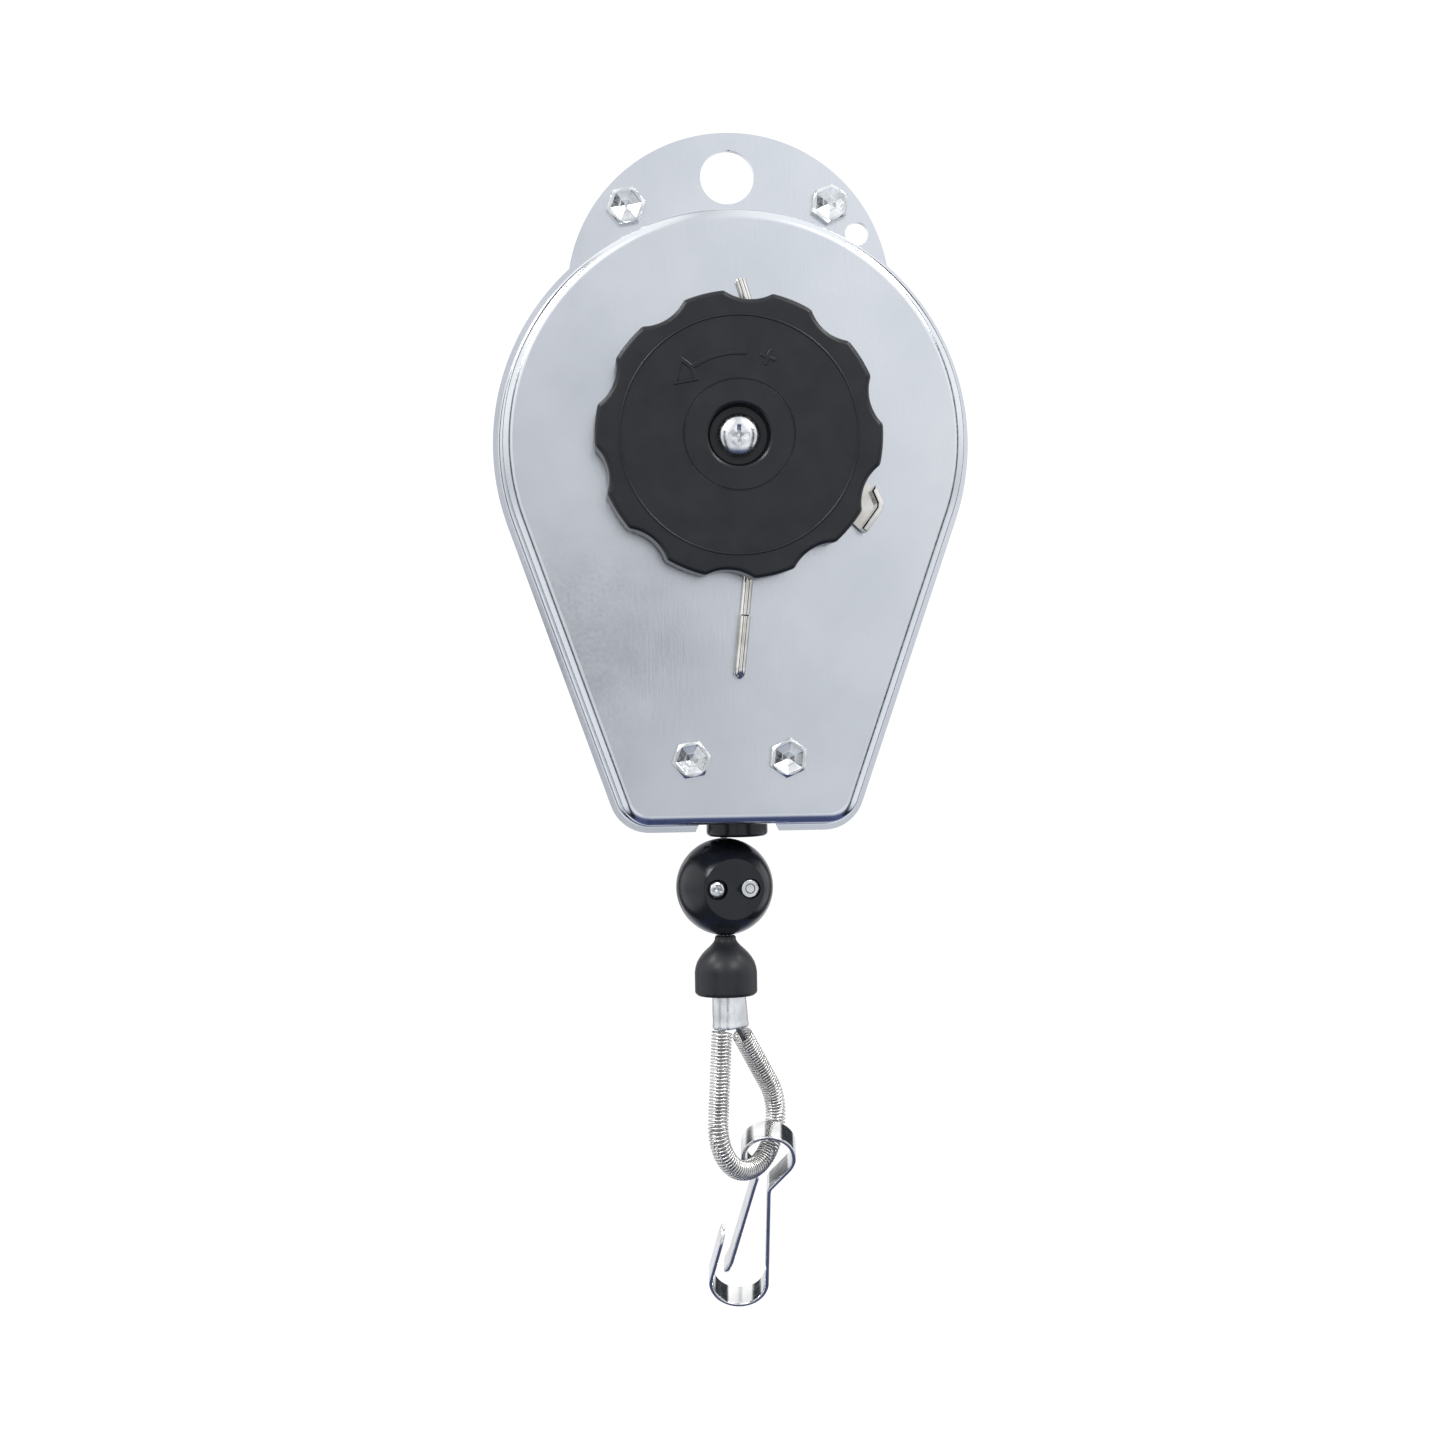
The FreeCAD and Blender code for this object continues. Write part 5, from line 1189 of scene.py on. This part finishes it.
class BALANCER_OT_pawl(bpy.types.Operator):
    """Blank the pawl out of sheet and stand its finger lug forward."""

    bl_idname = "balancer.pawl"
    bl_label = "Pawl"

    def execute(self, context):
        outline = [(14.8, 0.65), (17.45, 1.97), (17.7, -3), (17.4, -9), (22, -14), (27, -18.2), (35.2, -26.1)]
        outline += [(36.6, -27.2), (41.5, -20.6), (41.6, -18.4), (39.3, -13.9), (37.2, -12.8), (26.4, -9.6)]
        outline += [(21.6, -1), (20.2, 6.5), (14.6, 19.6), (12.4, 18.8), (17.2, 6.2), (14.9, 4.0)]
        lug = [(39.3, -13.9), (41.6, -18.4), (41.5, -20.6), (36.6, -27.2), (35.2, -26.1), (39.6, -20.1)]
        lug += [(39.7, -18.9), (38.2, -15.4)]
        heel = [(12.4, 18.8), (13.4, 16.2), (15.7, 17.0), (14.6, 19.6)]
        plate = plate_of("plate", outline, -25.3, -22.9)
        eye = round_outline(mm(22), mm(-14), mm(6), 64)
        boss = skin("boss", [level(eye, mm(y)) for y in (-25.301, -22.899)])
        carve(plate, boss, "UNION")
        carve(plate, pin_cutter(mm(22), mm(-14), mm(2.55)))
        lug = [(mm(x), mm(z)) for x, z in lug]
        steps = [(0.0, -24.0), (0.0, -30.5), (0.12, -30.8), (0.3, -31.0), (0.5, -31.1)]
        finger = skin("finger", [level(inset(lug, mm(inward)), mm(y)) for inward, y in steps])
        carve(plate, plate_of("heel", heel, -24.0, -20.5), "UNION")
        plate = join("ratchet_pawl", [soften(plate, mm(0.25), 2, 50), finger])
        dress(plate, "ratchet_pawl", "pawl", "bent_steel", FINISHES["nickel_rod"], ["pawl"], 35)
        return {"FINISHED"}


def inset(outline, inward):
    """The same closed outline, moved inwards by a small width."""
    count, moved = len(outline), []
    area = sum(a[0] * b[1] - b[0] * a[1] for a, b in zip(outline, outline[1:] + outline[:1]))
    side = math.copysign(1, area)
    for index, (x, z) in enumerate(outline):
        before, after = outline[index - 1], outline[(index + 1) % count]
        into = Vector((x - before[0], z - before[1])).normalized()
        out = Vector((after[0] - x, after[1] - z)).normalized()
        mean = (into + out).normalized()
        reach = inward / max(0.35, into.dot(mean))
        moved.append((x - mean.y * side * reach, z + mean.x * side * reach))
    return moved


def plate_of(name, outline, low, high):
    """A flat plate across Y from an outline about the arbor, all in millimetres."""
    return skin(name, [level([(mm(x), mm(z)) for x, z in outline], mm(y)) for y in (low, high)])


# ---- What keeps its CAD shape, and the stage ----

CAD_FINISHES = {
    "sheet": ["wire_saddle"],
    "zinc": ["case_spacers", "saddle_rivets", "lid_screws", "pawl_pin", "retaining_ring"],
    "bronze": ["front_bush", "rear_bush", "drum_bush"],
    "alloy": ["cable_drum", "spring_lid"],
    "temper": ["main_spring"],
    "spring": ["pawl_spring"],
    "steel": ["arbor", "ratchet_wheel"],
    "rope": ["cable_turns", "cable_run"],
}


class BALANCER_OT_finishes(bpy.types.Operator):
    """Make every finish, and give the pieces that keep their CAD shape theirs."""

    bl_idname = "balancer.finishes"
    bl_label = "Finishes"

    def execute(self, context):
        make_finishes()
        for finish, names in CAD_FINISHES.items():
            for name in names:
                materials = frame["nodes"][name].data.materials
                materials.clear()
                materials.append(FINISHES[finish])
        return {"FINISHED"}


def softbox(name, place, target, width, height, power):
    """A white area light at a place, facing its target."""
    light = bpy.data.lights.new(name, "AREA")
    light.shape = "RECTANGLE"
    light.size, light.size_y = width, height
    light.energy = power
    lamp = bpy.data.objects.new(name, light)
    bpy.context.scene.collection.objects.link(lamp)
    lamp.location = place
    lamp.rotation_euler = (Vector(target) - Vector(place)).to_track_quat("-Z", "Y").to_euler()


def plain_shade():
    """Flocked card, near black."""
    material, tree, output, _ = new_finish("flocked_card")
    shader = node(tree, "ShaderNodeBsdfPrincipled", {"Base Color": colour("#2A2C30"), "Roughness": 1.0})
    tree.links.new(shader.outputs[0], output.inputs["Surface"])
    return material


ROPE_TRAVEL = mm(1300)
FLOOR_ROOM = mm(150)
CAMERA_PLACE = (-0.0472, -0.870, -0.1362)
# Turn to the right, turn upwards and roll of the camera, in degrees.
CAMERA_TURNS = (2.81, -1.47, 0.92)


class BALANCER_OT_stage(bpy.types.Operator):
    """Set the pale floor, the soft room and lights, the camera and its lens shade."""

    bl_idname = "balancer.stage"
    bl_label = "Stage"

    def execute(self, context):
        low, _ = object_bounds()
        # The floor lies under the lowest place that the load reaches when the rope is pulled right out.
        spot = (0, 0, low[2] - ROPE_TRAVEL - FLOOR_ROOM)
        floor = close(add(bpy.ops.mesh.primitive_plane_add, "pale_floor", size=12.0, location=spot))
        material, tree, output, place = new_finish("painted_backdrop")
        rolled = node(tree, "ShaderNodeTexNoise", {"Vector": place, "Scale": 60.0, "Detail": 2.0})
        relief = {"Height": rolled.outputs["Fac"], "Strength": 0.05, "Distance": 0.001}
        bump = node(tree, "ShaderNodeBump", relief)
        shader = node(
            tree,
            "ShaderNodeBsdfPrincipled",
            {
                "Base Color": colours().backdrop[:],
                "Roughness": 0.9,
                "Normal": bump.outputs["Normal"],
                "Emission Color": colours().backdrop[:],
                "Emission Strength": 0.55,
            },
        )
        tree.links.new(shader.outputs[0], output.inputs["Surface"])
        floor.data.materials.append(material)
        floor.visible_glossy = False
        floor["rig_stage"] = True
        world = bpy.data.worlds.new("soft_room")
        context.scene.world = world
        world.use_nodes = True
        room = world.node_tree
        # The room as bright metal sees it: white above, paler in front, dim and blue below, and a dark
        # flag each side.
        around = node(room, "ShaderNodeTexCoord").outputs["Generated"]
        spread = node(room, "ShaderNodeSeparateXYZ", {0: around})
        whole = {"From Min": -1.0, "From Max": 1.0}
        rise = node(room, "ShaderNodeMapRange", {"Value": spread.outputs["Z"], **whole})
        tones = [(0.0, "#454D70"), (0.13, "#5A6284"), (0.24, "#D8DBE2"), (0.34, "#EDEFF2"), (0.44, "#CCCED2")]
        tones += [(0.5, "#DFE0E3"), (0.58, "#F6F7F9"), (1.0, "#FFFFFF")]
        tones = [(at, colour(code)) for at, code in tones]
        height = node(room, "ShaderNodeValToRGB", {"Fac": rise.outputs["Result"]}, tones)
        across = node(room, "ShaderNodeMapRange", {"Value": spread.outputs["X"], **whole})
        flags = [(0.115, "#FFFFFF"), (0.145, "#303338"), (0.22, "#303338"), (0.25, "#FFFFFF")]
        flags += [(0.42, "#FFFFFF"), (0.47, "#D0D1D4"), (0.5, "#DBDCDF"), (0.55, "#F4F5F6")]
        flags += [(0.6, "#FFFFFF"), (0.75, "#FFFFFF")]
        flags += [(0.78, "#303338"), (0.855, "#303338"), (0.885, "#FFFFFF")]
        flags = [(at, colour(code)) for at, code in flags]
        sides = node(room, "ShaderNodeValToRGB", {"Fac": across.outputs["Result"]}, flags)
        seen = node(room, "ShaderNodeMix", {"Factor": 1.0}, data_type="RGBA", blend_type="MULTIPLY")
        room.links.new(height.outputs["Color"], seen.inputs["A"])
        room.links.new(sides.outputs["Color"], seen.inputs["B"])
        room.links.new(seen.outputs["Result"], room.nodes["Background"].inputs["Color"])
        room.nodes["Background"].inputs["Strength"].default_value = 1.42
        white = node(room, "ShaderNodeBackground", {"Color": colour("#FFFFFF"), "Strength": 1.05})
        view = node(room, "ShaderNodeLightPath")
        either = node(room, "ShaderNodeMixShader", {0: view.outputs["Is Camera Ray"]})
        room.links.new(room.nodes["Background"].outputs[0], either.inputs[1])
        room.links.new(white.outputs[0], either.inputs[2])
        room.links.new(either.outputs[0], room.nodes["World Output"].inputs["Surface"])
        middle = (0.0, 0.0, -0.12)
        softbox("right_softbox", (0.8, -1.1, 0.8), middle, 0.6, 0.5, 11)
        softbox("left_softbox", (-0.8, -1.0, 0.7), middle, 0.6, 0.5, 9)
        softbox("upper_right_strip", (0.85, -0.12, 0.85), middle, 0.3, 0.3, 6)
        softbox("upper_left_strip", (-0.9, -0.12, 0.8), middle, 0.3, 0.3, 6)
        context.scene.view_settings.view_transform = "Standard"
        psi, theta, roll = (math.radians(turn) for turn in CAMERA_TURNS)
        ahead = Vector((math.sin(psi), math.cos(psi), 0))
        right = Vector((math.cos(psi), -math.sin(psi), 0))
        sight = ahead * math.cos(theta) + UP * math.sin(theta)
        top = UP * math.cos(theta) - ahead * math.sin(theta)
        side = right * math.cos(roll) - top * math.sin(roll)
        top = right * math.sin(roll) + top * math.cos(roll)
        lens = bpy.data.cameras.new("camera")
        lens.lens, lens.sensor_width = 74.1, 36.0
        lens.clip_start, lens.clip_end = 0.01, 20.0
        camera = bpy.data.objects.new("camera", lens)
        context.scene.collection.objects.link(camera)
        camera.matrix_world = Matrix.Translation(CAMERA_PLACE) @ Matrix(
            (
                (side.x, top.x, -sight.x, 0),
                (side.y, top.y, -sight.y, 0),
                (side.z, top.z, -sight.z, 0),
                (0, 0, 0, 1),
            )
        )
        context.scene.camera = camera
        # The lens shade: bright sheet facing it shows it as a dim patch. It is seen in reflections alone.
        rim = [(mm(radius), mm(ahead)) for radius, ahead in ((20, -5), (46, -5), (46, 5), (20, 5), (20, -5))]
        shade = lathe("lens_shade", rim, camera.location)
        shade.data.materials.append(plain_shade())
        shade.visible_camera = shade.visible_shadow = shade.visible_diffuse = False
        shade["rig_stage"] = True
        return {"FINISHED"}


# ---- Panel and start ----

STEPS = (
    BALANCER_OT_finishes,
    BALANCER_OT_rope,
    BALANCER_OT_case,
    BALANCER_OT_bolts,
    BALANCER_OT_guide,
    BALANCER_OT_knob,
    BALANCER_OT_pawl,
    BALANCER_OT_wire,
    BALANCER_OT_ball,
    BALANCER_OT_cap,
    BALANCER_OT_ferrule,
    BALANCER_OT_guard,
    BALANCER_OT_hook,
    BALANCER_OT_stage,
)


class BALANCER_PT_panel(bpy.types.Panel):
    """Sizes, colours and steps of the balancer."""

    bl_idname = "BALANCER_PT_panel"
    bl_label = "Tool Balancer"
    bl_space_type = "VIEW_3D"
    bl_region_type = "UI"
    bl_category = "Balancer"

    def draw(self, context):
        for group in (context.scene.balancer_sizes, context.scene.balancer_colours):
            for name in group.bl_rna.properties.keys():
                if name not in {"rna_type", "name"}:
                    self.layout.prop(group, name)
        for step in STEPS:
            self.layout.operator(step.bl_idname)


CLASSES = (BalancerSizes, BalancerColours, *STEPS, BALANCER_PT_panel)


def register():
    for kind in CLASSES:
        bpy.utils.register_class(kind)
    bpy.types.Scene.balancer_sizes = PointerProperty(type=BalancerSizes)
    bpy.types.Scene.balancer_colours = PointerProperty(type=BalancerColours)


def unregister():
    del bpy.types.Scene.balancer_colours
    del bpy.types.Scene.balancer_sizes
    for kind in reversed(CLASSES):
        bpy.utils.unregister_class(kind)


def clear_startup():
    """Remove what Blender's own start file brings."""
    for name in ("Cube", "Light", "Camera"):
        if name in bpy.data.objects:
            bpy.data.objects.remove(bpy.data.objects[name])


def main():
    clear_startup()
    register()
    for step in STEPS:
        group, name = step.bl_idname.split(".")
        getattr(getattr(bpy.ops, group), name)()


if __name__ == "__main__":
    main()
